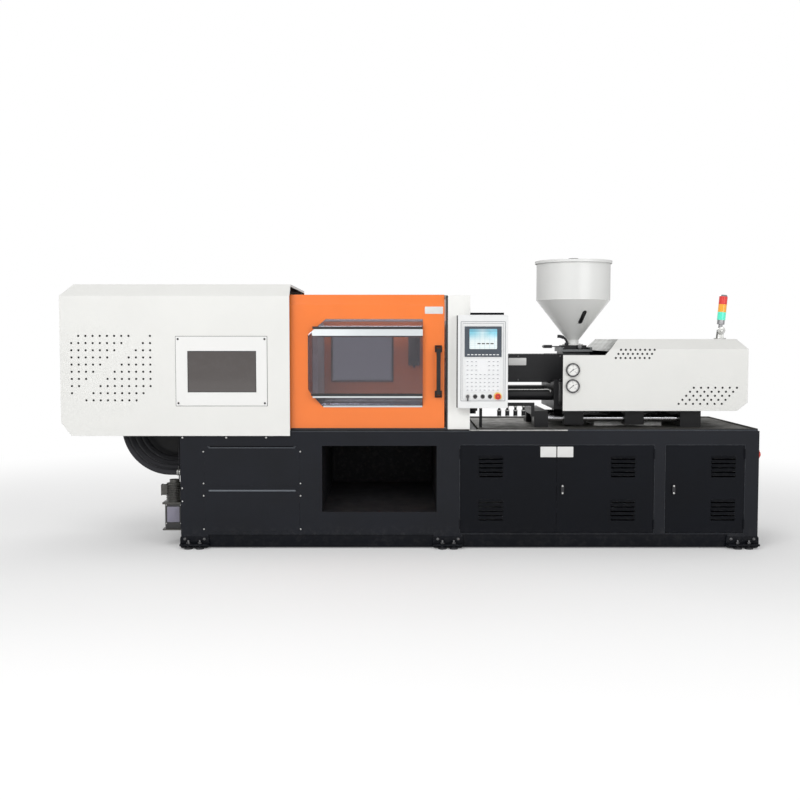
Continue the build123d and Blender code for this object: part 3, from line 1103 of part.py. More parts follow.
PARTS = {
    "base_frame": base_frame,
    "base_top": base_top,
    "levelling_feet": levelling_feet,
    "lubricator": lubricator,
    "clamp_hoses": clamp_hoses,
    "motor_pump": motor_pump,
    "control_rack": control_rack,
    "fixed_platen": fixed_platen,
    "tie_bars": tie_bars,
    "clamp_cover": clamp_cover,
    "clamp_window": clamp_window,
    "column_cover": column_cover,
    "door_rails": door_rails,
    "panel_housing": panel_housing,
    "panel_screen": panel_screen,
    "key_switch": key_switch,
    "button_left": lambda: push_button(BUTTON_X[0]),
    "button_middle": lambda: push_button(BUTTON_X[1]),
    "button_right": lambda: push_button(BUTTON_X[2]),
    "emergency_stop": emergency_stop,
    "carriage_rails": carriage_rails,
    "water_manifold": water_manifold,
    "front_door": front_door,
    "front_door_pane": front_door_pane,
    "front_door_handle": front_door_handle,
    "rear_door": rear_door,
    "rear_door_pane": rear_door_pane,
    "cabinet_door_left": lambda: cabinet_door(DOOR_LEFT, VENT_X[0], False),
    "cabinet_door_middle": lambda: cabinet_door(DOOR_MIDDLE, VENT_X[1], True),
    "cabinet_door_right": lambda: cabinet_door(DOOR_RIGHT, VENT_X[2], True),
    "door_lock_middle": lambda: door_lock(LOCK_X[0]),
    "door_lock_right": lambda: door_lock(LOCK_X[1]),
    "isolator_knob": isolator_knob,
    "rear_platen": rear_platen,
    "clamp_cylinder": clamp_cylinder,
    "rear_link_upper": lambda: rear_link(1),
    "rear_link_lower": lambda: rear_link(-1),
    "front_link_upper": lambda: front_link(1),
    "front_link_lower": lambda: front_link(-1),
    "crosshead": crosshead,
    "crosshead_link_upper": lambda: crosshead_link(1),
    "crosshead_link_lower": lambda: crosshead_link(-1),
    "moving_platen": moving_platen,
    "ejector": ejector,
    "carriage_base": carriage_base,
    "carriage_cylinders": carriage_cylinders,
    "barrel": barrel,
    "barrel_guard": barrel_guard,
    "injection_housing": injection_housing,
    "injection_drive": injection_drive,
    "screw": screw,
    "injection_cover": injection_cover,
    "hopper": hopper,
    "hopper_lid": hopper_lid,
    "hopper_slide": hopper_slide,
    "hopper_gate": hopper_gate,
    "gauge_needle_upper": lambda: gauge_needle(GAUGE_Z[1]),
    "gauge_needle_lower": lambda: gauge_needle(GAUGE_Z[0]),
    "tower_foot": tower_foot,
    "signal_tower": signal_tower,
}

for name, make in PARTS.items():
    made = make()
    pieces = made if isinstance(made, list) else [made]
    solids = [solid for piece in pieces for solid in piece.solids()]
    shape = solids[0] if len(solids) == 1 else Compound(children=solids)
    export_step(shape, f"parts/{name}.step")
    box = shape.bounding_box()
    print(f"{name}: {len(solids)} solids, x {box.min.X:.1f} to {box.max.X:.1f}, "
          f"y {box.min.Y:.1f} to {box.max.Y:.1f}, z {box.min.Z:.1f} to {box.max.Z:.1f}")
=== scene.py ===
"""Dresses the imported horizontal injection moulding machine.

Sizes in the classes are millimetres in the machine's frame: X from the clamp end to the
injection end, Y from the operator's side (negative) to the back, Z up from the floor.
"""

import logging
import math
from contextlib import contextmanager
from dataclasses import dataclass, replace
from enum import Enum
from functools import cache
from typing import Callable, Iterator, Sequence

import bmesh
import bpy
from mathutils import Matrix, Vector


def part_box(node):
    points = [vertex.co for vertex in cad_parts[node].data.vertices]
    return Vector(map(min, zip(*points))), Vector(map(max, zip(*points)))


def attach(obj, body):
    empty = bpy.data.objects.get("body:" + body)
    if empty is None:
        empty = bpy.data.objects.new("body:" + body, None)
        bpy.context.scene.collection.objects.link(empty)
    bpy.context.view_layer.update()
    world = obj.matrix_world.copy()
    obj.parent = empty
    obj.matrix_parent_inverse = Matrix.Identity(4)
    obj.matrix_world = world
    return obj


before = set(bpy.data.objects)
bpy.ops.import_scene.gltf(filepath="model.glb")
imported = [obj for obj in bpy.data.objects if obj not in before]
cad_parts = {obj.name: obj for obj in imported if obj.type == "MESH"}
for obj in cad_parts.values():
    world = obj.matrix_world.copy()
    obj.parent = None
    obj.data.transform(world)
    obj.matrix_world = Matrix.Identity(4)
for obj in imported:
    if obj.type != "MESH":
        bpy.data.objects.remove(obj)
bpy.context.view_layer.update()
MM = 0.001
LOG = logging.getLogger("machine")

Span = tuple[float, float]
Place = tuple[float, float, float]
Piece = bpy.types.Object
Socket = bpy.types.NodeSocket
Tree = bpy.types.NodeTree


class Facing(Enum):
    """Where a turned piece's own up direction points."""

    UP = (0.0, 0.0, 0.0)
    DOWN = (math.pi, 0.0, 0.0)
    FRONT = (math.pi / 2, 0.0, 0.0)
    BACK = (-math.pi / 2, 0.0, 0.0)
    RIGHT = (0.0, math.pi / 2, 0.0)
    LEFT = (0.0, -math.pi / 2, 0.0)


class Skin(Enum):
    """Surface of a bare or cast metal."""

    BRUSHED_X = (6.0, 700.0, 700.0)
    BRUSHED_Y = (700.0, 6.0, 700.0)
    BRUSHED_Z = (700.0, 700.0, 6.0)
    ZINC = (55.0, 55.0, 55.0)
    CAST = (260.0, 260.0, 260.0)


# Places


def metres(*values: float) -> list[float]:
    """Millimetres turned into metres."""
    return [value * MM for value in values]


def inset(span: Span, by: float) -> Span:
    """A span made shorter at both ends."""
    return span[0] + by, span[1] - by


def within(spot: Vector, *spans: Span | None) -> bool:
    """True where a spot lies between the limits of X, Y and Z that are given."""
    return all(span is None or span[0] < value < span[1] for value, span in zip(spot, spans))


def grid(x: Sequence[float], y: Sequence[float], z: Sequence[float]) -> list[Place]:
    """All places of three lists of coordinates."""
    return [(a, b, c) for a in x for b in y for c in z]


def spread(low: float, high: float, count: int) -> list[float]:
    """Evenly spaced values, both ends included."""
    return [low + (high - low) * index / (count - 1) for index in range(count)]


# Modelling bench


def deselect() -> None:
    """Clears the selection, CAD nodes included."""
    bpy.ops.object.select_all(action="DESELECT")


def take(piece: Piece) -> None:
    """Makes one piece the only selected and active object.

    Args:
        piece: the piece.
    """
    deselect()
    piece.select_set(True)
    bpy.context.view_layer.objects.active = piece


@contextmanager
def editing(piece: Piece) -> Iterator[None]:
    """Opens a piece in edit mode.

    Args:
        piece: the piece.

    Returns:
        A context that leaves edit mode at its end.
    """
    take(piece)
    bpy.ops.object.mode_set(mode="EDIT")
    try:
        yield
    finally:
        bpy.ops.object.mode_set(mode="OBJECT")


def choose_all() -> None:
    """Selects the whole mesh in edit mode."""
    bpy.ops.mesh.select_all(action="SELECT")


def face_outwards(merge: bool = False) -> None:
    """Points all normals of the mesh in edit mode outwards, after merging its doubles if told to.

    Args:
        merge: True to merge doubles first.
    """
    choose_all()
    if merge:
        bpy.ops.mesh.remove_doubles(threshold=1e-6)
    bpy.ops.mesh.normals_make_consistent(inside=False)


def extrude(x: float, y: float, z: float) -> None:
    """Extrudes the chosen faces along a run in metres."""
    bpy.ops.mesh.extrude_region_move(TRANSFORM_OT_translate={"value": (x, y, z)})


def choose(piece: Piece, kind: str, test: Callable) -> None:
    """Selects the verts, edges or faces that a test accepts.

    Args:
        piece: the piece in edit mode.
        kind: VERT, EDGE or FACE.
        test: takes one element and says whether it is selected.
    """
    bpy.ops.mesh.select_mode(type=kind)
    bpy.ops.mesh.select_all(action="DESELECT")
    mesh = bmesh.from_edit_mesh(piece.data)
    for element in {"VERT": mesh.verts, "EDGE": mesh.edges, "FACE": mesh.faces}[kind]:
        if test(element):
            element.select_set(True)
    mesh.select_flush_mode()
    bmesh.update_edit_mesh(piece.data)


def break_edges(piece: Piece, angle: float, width: float, segments: int = 2) -> None:
    """Bevels the sharp edges of a piece in edit mode.

    Args:
        piece: the piece.
        angle: the least angle of a sharp edge, in radians.
        width: width of the broken edges.
        segments: their steps.
    """
    choose(piece, "EDGE", lambda item: item.is_manifold and item.calc_face_angle(0.0) > angle)
    bpy.ops.mesh.bevel(offset=width * MM, segments=segments, affect="EDGES", clamp_overlap=True)


def settle(name: str) -> Piece:
    """Applies the active primitive's place and size and names it.

    Args:
        name: the new name.

    Returns:
        The piece.
    """
    piece = bpy.context.active_object
    bpy.ops.object.transform_apply(location=True, rotation=True, scale=True)
    piece.name = piece.data.name = name
    return piece


def runs_along(edge: bmesh.types.BMEdge, axis: int) -> bool:
    """True where an edge is parallel to an axis."""
    run = edge.verts[1].co - edge.verts[0].co
    return abs(run[axis]) > 0.95 * run.length


def block(name: str, x: Span, y: Span, z: Span, edge: float = 1.0, corner: float = 0.0, along: int = 1,
          segments: int = 2) -> Piece:
    """Box with rounded corners along one axis and broken edges all round.

    Args:
        name: the piece's name.
        x: low and high X.
        y: low and high Y.
        z: low and high Z.
        edge: width of the broken edges.
        corner: radius of the corners that run along an axis.
        along: 0, 1 or 2, the axis that the corners run along.
        segments: steps of the broken edges.

    Returns:
        The new piece.
    """
    deselect()
    pairs = [sorted(pair) for pair in (x, y, z)]
    bpy.ops.mesh.primitive_cube_add(size=1.0, location=[sum(pair) / 2 * MM for pair in pairs],
                                    scale=[(pair[1] - pair[0]) * MM for pair in pairs])
    piece = settle(name)
    with editing(piece):
        if corner:
            choose(piece, "EDGE", lambda item: runs_along(item, along))
            bpy.ops.mesh.bevel(offset=corner * MM, segments=4, affect="EDGES")
        if edge:
            break_edges(piece, 0.6, edge, segments)
    return piece


def bars(x: Span, y: Span, z: Span, wide: float, edge: float) -> list[Piece]:
    """Four bars round a rectangle that looks to the front or back.

    Args:
        x: the rectangle's sides.
        y: the bars' faces.
        z: the rectangle's foot and top.
        wide: the bars' width, outside the rectangle.
        edge: width of their broken edges.

    Returns:
        The bars.
    """
    flat = [block("bar", inset(x, -wide), y, (at - wide, at), edge) for at in (z[0], z[1] + wide)]
    return flat + [block("bar", (at - wide, at), y, z, edge) for at in (x[0], x[1] + wide)]


def place_turned(piece: Piece, at: Place, facing: Facing) -> None:
    """Turns a piece modelled at the origin and moves it to its place.

    Args:
        piece: the piece.
        at: where its origin goes.
        facing: where its up direction points.
    """
    take(piece)
    piece.rotation_euler = facing.value
    piece.location = metres(*at)
    bpy.ops.object.transform_apply(location=True, rotation=True, scale=True)


def turned(name: str, at: Place, facing: Facing, profile: Sequence[Span], steps: int = 32,
           edge: float = 0.0) -> Piece:
    """Solid turned round its own axis.

    Args:
        name: the piece's name.
        at: foot of the axis.
        facing: where the axis points.
        profile: (radius, height) from the foot up; the foot and the top are closed.
        steps: facets round the axis.
        edge: width of the broken edges at the sharp rims.

    Returns:
        The new piece.
    """
    deselect()
    radius, height = profile[0]
    bpy.ops.mesh.primitive_circle_add(vertices=steps, radius=radius * MM, fill_type="NGON",
                                      location=(0, 0, height * MM))
    piece = settle(name)
    with editing(piece):
        choose_all()
        for wide, high in profile[1:]:
            extrude(0, 0, (high - height) * MM)
            if wide != radius:
                ratio = wide / radius
                bpy.ops.transform.resize(value=(ratio, ratio, 1.0), center_override=(0, 0, high * MM))
            radius, height = wide, high
        if edge:
            break_edges(piece, 0.7, edge)
        face_outwards()
    place_turned(piece, at, facing)
    return piece


def ring(name: str, at: Place, facing: Facing, radii: Span, heights: Span, soft: float = 0.5,
         steps: int = 40) -> Piece:
    """Ring of rectangular section with soft corners.

    Args:
        name: the piece's name.
        at: foot of the axis.
        facing: where the axis points.
        radii: inner and outer radius.
        heights: lower and upper face along the axis.
        soft: how far the section's corners are rounded.
        steps: facets round the axis.

    Returns:
        The new piece.
    """
    deselect()
    bpy.ops.mesh.primitive_plane_add(size=1.0, location=(sum(radii) / 2 * MM, 0, sum(heights) / 2 * MM),
                                     rotation=(math.pi / 2, 0, 0), scale=(1, 1, 1))
    bpy.context.active_object.scale = ((radii[1] - radii[0]) * MM, (heights[1] - heights[0]) * MM, 1.0)
    piece = settle(name)
    with editing(piece):
        choose_all()
        if soft:
            bpy.ops.mesh.bevel(offset=soft * MM, segments=2, affect="VERTICES")
        choose_all()
        bpy.ops.mesh.delete(type="ONLY_FACE")
        choose_all()
        bpy.ops.mesh.spin(steps=steps, angle=2 * math.pi, center=(0, 0, 0), axis=(0, 0, 1))
        face_outwards(merge=True)
    place_turned(piece, at, facing)
    return piece


def slab(name: str, points: Sequence[Span], across: int, low: float, high: float, edge: float = 0.8) -> Piece:
    """Plate cut to an outline.

    Args:
        name: the piece's name.
        points: the outline in the two other axes, in their order.
        across: 0, 1 or 2, the axis of the plate's thickness.
        low: lower face.
        high: upper face.
        edge: width of the broken edges.

    Returns:
        The new piece.
    """
    deselect()
    bpy.ops.mesh.primitive_circle_add(vertices=len(points), radius=MM, fill_type="NGON")
    piece = settle(name)
    for vertex, point in zip(piece.data.vertices, points):
        vertex.co = metres(*point[:across], low, *point[across:])
    shift = [0.0, 0.0, 0.0]
    shift[across] = (high - low) * MM
    with editing(piece):
        choose_all()
        extrude(*shift)
        face_outwards()
        break_edges(piece, 0.3, edge)
    return piece


def tube(name: str, points: Sequence[Place], radius: float) -> Piece:
    """Round tube through points.

    Args:
        name: the piece's name.
        points: the centre line, which is rounded between them.
        radius: outer radius.

    Returns:
        The new piece, as a mesh with closed ends.
    """
    deselect()
    bpy.ops.curve.primitive_bezier_curve_add()
    line = bpy.context.active_object
    spline = line.data.splines[0]
    spline.bezier_points.add(len(points) - 2)
    for knot, point in zip(spline.bezier_points, points):
        knot.co = metres(*point)
        knot.handle_left_type = knot.handle_right_type = "AUTO"
    line.location = (0, 0, 0)
    line.data.dimensions = "3D"
    line.data.bevel_depth = radius * MM
    line.data.bevel_resolution = 4
    line.data.use_fill_caps = True
    line.data.resolution_u = 10
    bpy.ops.object.convert(target="MESH")
    piece = settle(name)
    with editing(piece):
        face_outwards(merge=True)
    return piece


def join(name: str, pieces: Sequence[Piece]) -> Piece:
    """Joins pieces into one and applies its place.

    Args:
        name: the new name.
        pieces: the pieces, which are used up.

    Returns:
        The joined piece.
    """
    deselect()
    for piece in pieces:
        piece.select_set(True)
    bpy.context.view_layer.objects.active = pieces[0]
    if len(pieces) > 1:
        bpy.ops.object.join()
    return settle(name)


def copies(name: str, source: Piece, places: Sequence[Place]) -> Piece:
    """Repeats a piece and joins the copies.

    Args:
        name: the joined piece's name.
        source: piece modelled round the origin, which is used up.
        places: where its origin goes.

    Returns:
        One piece with a copy at each place.
    """
    made = []
    for spot in places:
        take(source)
        bpy.ops.object.duplicate(linked=False)
        copy = bpy.context.active_object
        copy.location = metres(*spot)
        made.append(copy)
    bpy.data.objects.remove(source, do_unlink=True)
    return join(name, made)


def socket_screw(radius: float = 6.0, rise: float = 4.5, facing: Facing = Facing.FRONT) -> Piece:
    """Button-head screw with a driven recess, round the origin.

    Args:
        radius: radius of the head.
        rise: height of the head.
        facing: where the head points.

    Returns:
        The screw.
    """
    piece = turned("screw_source", (0, 0, 0), Facing.UP,
                   [(radius, -0.4), (radius, 0.25 * rise), (0.86 * radius, 0.72 * rise), (0.5 * radius, rise)], 12)
    with editing(piece):
        choose(piece, "FACE", lambda item: item.normal.z > 0.95 and item.calc_center_median().z > 0.9 * rise * MM)
        bpy.ops.mesh.inset(thickness=0.12 * radius * MM)
        extrude(0, 0, -0.55 * rise * MM)
    place_turned(piece, (0, 0, 0), facing)
    return piece


def hex_bolt(size: float, facing: Facing = Facing.FRONT) -> Piece:
    """Hexagon bolt head on its washer, round the origin.

    Args:
        size: radius over the head's corners.
        facing: where the head points.

    Returns:
        The bolt head.
    """
    washer = turned("washer", (0, 0, 0), Facing.UP, [(size * 1.28, -0.4), (size * 1.28, size * 0.16)], 20, 0.3)
    head = turned("head", (0, 0, 0), Facing.UP, [(size, 0.0), (size, size * 0.7), (size * 0.88, size * 0.8)], 6)
    bolt = join("bolt_source", [washer, head])
    place_turned(bolt, (0, 0, 0), facing)
    return bolt


# Materials


class NodeBench:
    """Adds and links the nodes of one tree."""

    def __init__(self, tree: Tree) -> None:
        """Starts on an empty tree."""
        self.tree = tree
        tree.nodes.clear()

    def feed(self, node: bpy.types.Node, inputs: dict) -> bpy.types.Node:
        """Sets or links a node's inputs, by name or number, and returns the node.

        Args:
            node: the node.
            inputs: values or output sockets by the input's name or number.

        Returns:
            The node.
        """
        for key, value in inputs.items():
            if isinstance(value, Socket):
                self.tree.links.new(value, node.inputs[key])
            else:
                node.inputs[key].default_value = value
        return node

    def add(self, kind: str, inputs: dict | None = None, **settings: object) -> bpy.types.Node:
        """Adds a node.

        Args:
            kind: the node's type name without its ShaderNode prefix.
            inputs: values or output sockets by the input's name or number.
            **settings: properties of the node.

        Returns:
            The node.
        """
        node = self.tree.nodes.new(kind if kind.startswith("Node") else "ShaderNode" + kind)
        for key, value in settings.items():
            setattr(node, key, value)
        return self.feed(node, inputs or {})

    def math(self, operation: str, first: object, second: object = 0.0, third: object = 0.0,
             clamp: bool = False) -> Socket:
        """Maths node of up to three values; returns its output."""
        return self.add("Math", {0: first, 1: second, 2: third}, operation=operation, use_clamp=clamp).outputs[0]

    def scaled(self, vector: object, factors: object) -> Socket:
        """Vector times a factor along each axis; returns its output."""
        return self.add("VectorMath", {0: vector, 1: factors}, operation="MULTIPLY").outputs[0]

    def ramp(self, value: object, low: object, high: float, start: float = 0.0, end: float = 1.0) -> Socket:
        """Smooth step of a value; returns its output."""
        return self.add("MapRange", {"Value": value, "From Min": low, "From Max": high, "To Min": start,
                                     "To Max": end}, interpolation_type="SMOOTHSTEP").outputs["Result"]

    def mix(self, factor: object, first: object, second: object) -> Socket:
        """Colour mix; returns its output."""
        return self.add("Mix", {0: factor, 6: first, 7: second}, data_type="RGBA").outputs[2]

    def noise(self, vector: object, scale: object, detail: float = 2.0, rough: float = 0.5) -> Socket:
        """Noise value; returns its output."""
        return self.add("TexNoise", {"Vector": vector, "Scale": scale, "Detail": detail,
                                     "Roughness": rough}).outputs["Fac"]

    def group(self, tree: Tree, inputs: dict) -> dict[str, Socket]:
        """Places a node group with its values; returns its outputs."""
        return self.add("Group", inputs, node_tree=tree).outputs


class Effects:
    """Node groups that several materials share, each built once."""

    @staticmethod
    def start(name: str, extra: str, value: float | None, outputs: Sequence[str]) -> tuple:
        """Makes a group that takes a vector and one more value.

        Args:
            name: the group's name.
            extra: name of its second input.
            value: the second input's default, or None for a vector.
            outputs: names of the outputs; Normal is a vector and the others are values.

        Returns:
            The tree, its bench and the sockets of its two inputs.
        """
        tree = bpy.data.node_groups.new(name, "ShaderNodeTree")
        tree.interface.new_socket("Vector", in_out="INPUT", socket_type="NodeSocketVector")
        kind = "NodeSocketVector" if value is None else "NodeSocketFloat"
        second = tree.interface.new_socket(extra, in_out="INPUT", socket_type=kind)
        if value is not None:
            second.default_value = value
        for key in outputs:
            kind = "NodeSocketVector" if key == "Normal" else "NodeSocketFloat"
            tree.interface.new_socket(key, in_out="OUTPUT", socket_type=kind)
        bench = NodeBench(tree)
        given = bench.add("NodeGroupInput").outputs
        return tree, bench, given["Vector"], given[extra]

    @staticmethod
    def surface(name: str, extra: str, value: float | None, paint: Callable) -> Tree:
        """Makes a group that puts out a height, a tone and a smear.

        Args:
            name: the group's name.
            extra: name of its second input.
            value: the second input's default, or None for a vector.
            paint: takes the bench and the two inputs, and returns the three outputs.

        Returns:
            The group.
        """
        names = ("Height", "Tone", "Smear")
        tree, bench, spot, second = Effects.start(name, extra, value, names)
        bench.add("NodeGroupOutput", dict(zip(names, paint(bench, spot, second))))
        return tree

    @staticmethod
    @cache
    def paint() -> Tree:
        """Orange peel of a powder coat, soft clouds of tone and smears in the gloss.

        Returns:
            The group.
        """
        def draw(bench: NodeBench, spot: Socket, peel: Socket) -> tuple:
            """Draws the peel, the clouds and the smears.

            Args:
                bench: the tree's bench.
                spot: the object coordinates.
                peel: scale of the peel.

            Returns:
                Height, tone and smear.
            """
            return (bench.math("MULTIPLY_ADD", bench.noise(spot, 900.0, 1.0), 0.25, bench.noise(spot, peel, 2.0)),
                    bench.ramp(bench.noise(spot, 1.7, 4.0, 0.6), 0.3, 0.7),
                    bench.ramp(bench.noise(bench.scaled(spot, (1.0, 1.0, 5.0)), 6.0, 5.0, 0.65), 0.35, 0.75))
        return Effects.surface("powder_coat", "Peel", 260.0, draw)

    @staticmethod
    @cache
    def metal() -> Tree:
        """Lines or grain of a metal, stretched by a scale along each axis.

        Returns:
            The group.
        """
        def draw(bench: NodeBench, spot: Socket, stretch: Socket) -> tuple:
            """Draws the lines, their wide clouds and the stains.

            Args:
                bench: the tree's bench.
                spot: the object coordinates.
                stretch: the scale along each axis.

            Returns:
                Height, tone and smear.
            """
            lined = bench.scaled(spot, stretch)
            return (bench.noise(lined, 1.0, 3.0, 0.6),
                    bench.ramp(bench.noise(bench.scaled(lined, (0.12, 0.12, 0.12)), 1.0, 2.0), 0.3, 0.7),
                    bench.ramp(bench.noise(spot, 14.0, 5.0, 0.7), 0.35, 0.7))
        return Effects.surface("metal_lines", "Stretch", None, draw)

    @staticmethod
    @cache
    def spangle() -> Tree:
        """Crystal facets of hot-dip zinc.

        Returns:
            The group.
        """
        def draw(bench: NodeBench, spot: Socket, scale: Socket) -> tuple:
            """Draws the fine skin, the facets' tones and the stains.

            Args:
                bench: the tree's bench.
                spot: the object coordinates.
                scale: scale of the pattern.

            Returns:
                Height, tone and smear.
            """
            cells = bench.add("TexVoronoi", {"Vector": spot, "Scale": scale})
            return (bench.noise(spot, 400.0, 2.0),
                    bench.add("SeparateColor", {0: cells.outputs["Color"]}).outputs[0],
                    bench.ramp(bench.noise(spot, 9.0, 4.0, 0.6), 0.35, 0.7))
        return Effects.surface("zinc_spangle", "Scale", 55.0, draw)

    @staticmethod
    @cache
    def casting() -> Tree:
        """Coarse skin of a painted sand casting.

        Returns:
            The group.
        """
        def draw(bench: NodeBench, spot: Socket, scale: Socket) -> tuple:
            """Draws the pitted skin, its clouds and the stains.

            Args:
                bench: the tree's bench.
                spot: the object coordinates.
                scale: scale of the pattern.

            Returns:
                Height, tone and smear.
            """
            pits = bench.add("TexVoronoi", {"Vector": spot, "Scale": 420.0}).outputs["Distance"]
            return (bench.math("MULTIPLY_ADD", pits, 0.4, bench.noise(spot, scale, 4.0, 0.6)),
                    bench.ramp(bench.noise(spot, 3.0, 4.0), 0.3, 0.7),
                    bench.ramp(bench.noise(spot, 20.0, 5.0, 0.7), 0.4, 0.7))
        return Effects.surface("casting_skin", "Scale", 260.0, draw)

    @staticmethod
    @cache
    def edges() -> Tree:
        """Rounded-edge normal and a broken-up mask along the edges.

        Returns:
            The group.
        """
        tree, bench, spot, radius = Effects.start("edge_wear", "Radius", 0.002, ("Mask", "Normal"))
        bevel = bench.add("Bevel", {"Radius": radius}, samples=4).outputs[0]
        flat = bench.add("NewGeometry").outputs["Normal"]
        dot = bench.add("VectorMath", {0: bevel, 1: flat}, operation="DOT_PRODUCT").outputs["Value"]
        edge = bench.ramp(bench.math("SUBTRACT", 1.0, dot), 0.01, 0.12)
        chips = bench.ramp(bench.noise(spot, 45.0, 5.0, 0.7), 0.45, 0.62)
        bench.add("NodeGroupOutput", {"Mask": bench.math("MULTIPLY", edge, chips), "Normal": bevel})
        return tree

    @staticmethod
    @cache
    def dust() -> Tree:
        """Dust on faces that look up, and splashes near the floor.

        Returns:
            The group.
        """
        tree, bench, spot, low = Effects.start("settled_dust", "Low", 0.05, ("Mask",))
        up = bench.add("SeparateXYZ", {0: bench.add("NewGeometry").outputs["Normal"]}).outputs["Z"]
        level = bench.add("SeparateXYZ", {0: spot}).outputs["Z"]
        clouds = bench.ramp(bench.noise(spot, 7.0, 6.0, 0.7), 0.35, 0.7)
        lying = bench.math("MULTIPLY", bench.ramp(up, 0.55, 0.98), clouds)
        splash = bench.math("MULTIPLY", bench.ramp(level, low, 0.02),
                            bench.ramp(bench.noise(spot, 30.0, 6.0, 0.75), 0.45, 0.7))
        bench.add("NodeGroupOutput", {"Mask": bench.math("MAXIMUM", lying, splash)})
        return tree


def rgba(color: Place, factor: float = 1.0) -> tuple[float, ...]:
    """Colour with a factor and full alpha."""
    return (*(min(value * factor, 1.0) for value in color), 1.0)


@dataclass(frozen=True)
class Finish:
    """What every finish has.

    Attributes:
        name: the material's name.
        slot: name of a material slot; not used.
        color: base colour, linear.
        roughness: mean roughness.
    """

    name: str
    slot: str
    color: Place
    roughness: float

    def material(self) -> bpy.types.Material:
        """Returns the finish's material, built at the first call.

        Returns:
            The material.
        """
        found = bpy.data.materials.get(self.name)
        if found:
            return found
        made = bpy.data.materials.new(self.name)
        made.use_nodes = True
        bench = NodeBench(made.node_tree)
        spot = bench.add("TexCoord").outputs["Object"]
        shader = bench.add("BsdfPrincipled", {"Base Color": rgba(self.color), "Roughness": self.roughness})
        self.nodes(bench, spot, shader)
        bench.add("OutputMaterial", {"Surface": shader.outputs[0]})
        made.diffuse_color = rgba(self.color)
        return made

    def nodes(self, bench: NodeBench, spot: Socket, shader: bpy.types.Node) -> None:
        """Adds what is special to this finish; the plain finish adds nothing."""

    def bump(self, bench: NodeBench, shader: bpy.types.Node, depth: float, inputs: dict) -> None:
        """Feeds a height into the shader's normal.

        Args:
            bench: the material's bench.
            shader: the Principled node.
            depth: the bump's depth in metres.
            inputs: its Height and Strength, and the Normal to start from.
        """
        bench.feed(shader, {"Normal": bench.add("Bump", {**inputs, "Distance": depth}).outputs[0]})


@dataclass(frozen=True)
class Paint(Finish):
    """Powder coat on sheet, with its peel, edge wear and dust.

    Attributes:
        coat: weight of the clear top gloss.
        peel: scale of the orange peel.
        peel_strength: strength of its bump.
        tone: how much darker the clouds are.
        edge: radius of the folded edges in metres.
        worn: colour where edges are rubbed.
        wear: how far the edges are rubbed.
        dust: amount of dust.
        dust_level: height in metres up to which splashes reach.
        specular: strength of the reflections.
    """

    coat: float = 0.25
    peel: float = 260.0
    peel_strength: float = 0.05
    tone: float = 0.05
    edge: float = 0.0022
    worn: Place = (0.5, 0.5, 0.48)
    wear: float = 0.25
    dust: float = 0.15
    dust_level: float = 0.05
    specular: float = 0.5

    def nodes(self, bench: NodeBench, spot: Socket, shader: bpy.types.Node) -> None:
        """Clouds the colour, rubs the edges, lays the dust and peels the surface.

        Args:
            bench: the tree's bench.
            spot: the object coordinates.
            shader: the Principled node.
        """
        skin = bench.group(Effects.paint(), {"Vector": spot, "Peel": self.peel})
        edges = bench.group(Effects.edges(), {"Vector": spot, "Radius": self.edge})
        dust = bench.group(Effects.dust(), {"Vector": spot, "Low": self.dust_level})
        color = bench.mix(skin["Tone"], rgba(self.color), rgba(self.color, 1.0 - self.tone))
        color = bench.mix(bench.math("MULTIPLY", edges["Mask"], self.wear), color, rgba(self.worn))
        lying = bench.math("MULTIPLY", dust["Mask"], self.dust)
        color = bench.mix(lying, color, (0.42, 0.40, 0.37, 1.0))
        rough = bench.math("MULTIPLY_ADD", skin["Smear"], 0.10, self.roughness - 0.04)
        rough = bench.math("MULTIPLY_ADD", lying, 0.6, rough)
        bench.feed(shader, {"Base Color": color, "Roughness": rough, "Coat Weight": self.coat,
                            "Coat Roughness": 0.12, "Specular IOR Level": self.specular})
        self.bump(bench, shader, 0.0006, {"Height": skin["Height"], "Strength": self.peel_strength,
                                          "Normal": edges["Normal"]})


@dataclass(frozen=True)
class Metal(Finish):
    """Bare, plated or cast metal.

    Attributes:
        skin: the surface's grain.
        metallic: how metallic it is.
        tone: how much darker the lines and stains are.
        depth: strength of the grain's bump.
        stain: how far grease and handling dull it.
        edge: radius of the edges in metres.
    """

    skin: Skin = Skin.BRUSHED_X
    metallic: float = 1.0
    tone: float = 0.18
    depth: float = 0.06
    stain: float = 0.25
    edge: float = 0.0012

    def nodes(self, bench: NodeBench, spot: Socket, shader: bpy.types.Node) -> None:
        """Grains the colour, the gloss and the normal.

        Args:
            bench: the tree's bench.
            spot: the object coordinates.
            shader: the Principled node.
        """
        if self.skin in (Skin.ZINC, Skin.CAST):
            effect = Effects.spangle() if self.skin is Skin.ZINC else Effects.casting()
            skin = bench.group(effect, {"Vector": spot, "Scale": self.skin.value[0]})
        else:
            skin = bench.group(Effects.metal(), {"Vector": spot, "Stretch": self.skin.value})
        edges = bench.group(Effects.edges(), {"Vector": spot, "Radius": self.edge})
        color = bench.mix(skin["Tone"], rgba(self.color), rgba(self.color, 1.0 - self.tone))
        color = bench.mix(bench.math("MULTIPLY", skin["Smear"], self.stain), color, rgba(self.color, 0.45))
        color = bench.mix(bench.math("MULTIPLY", edges["Mask"], 0.5), color, rgba(self.color, 1.5))
        rough = bench.math("MULTIPLY_ADD", skin["Smear"], 0.18, self.roughness - 0.06)
        rough = bench.math("MULTIPLY_ADD", skin["Tone"], 0.08, rough)
        bench.feed(shader, {"Base Color": color, "Roughness": rough, "Metallic": self.metallic})
        self.bump(bench, shader, 0.0004, {"Height": skin["Height"], "Strength": self.depth,
                                          "Normal": edges["Normal"]})


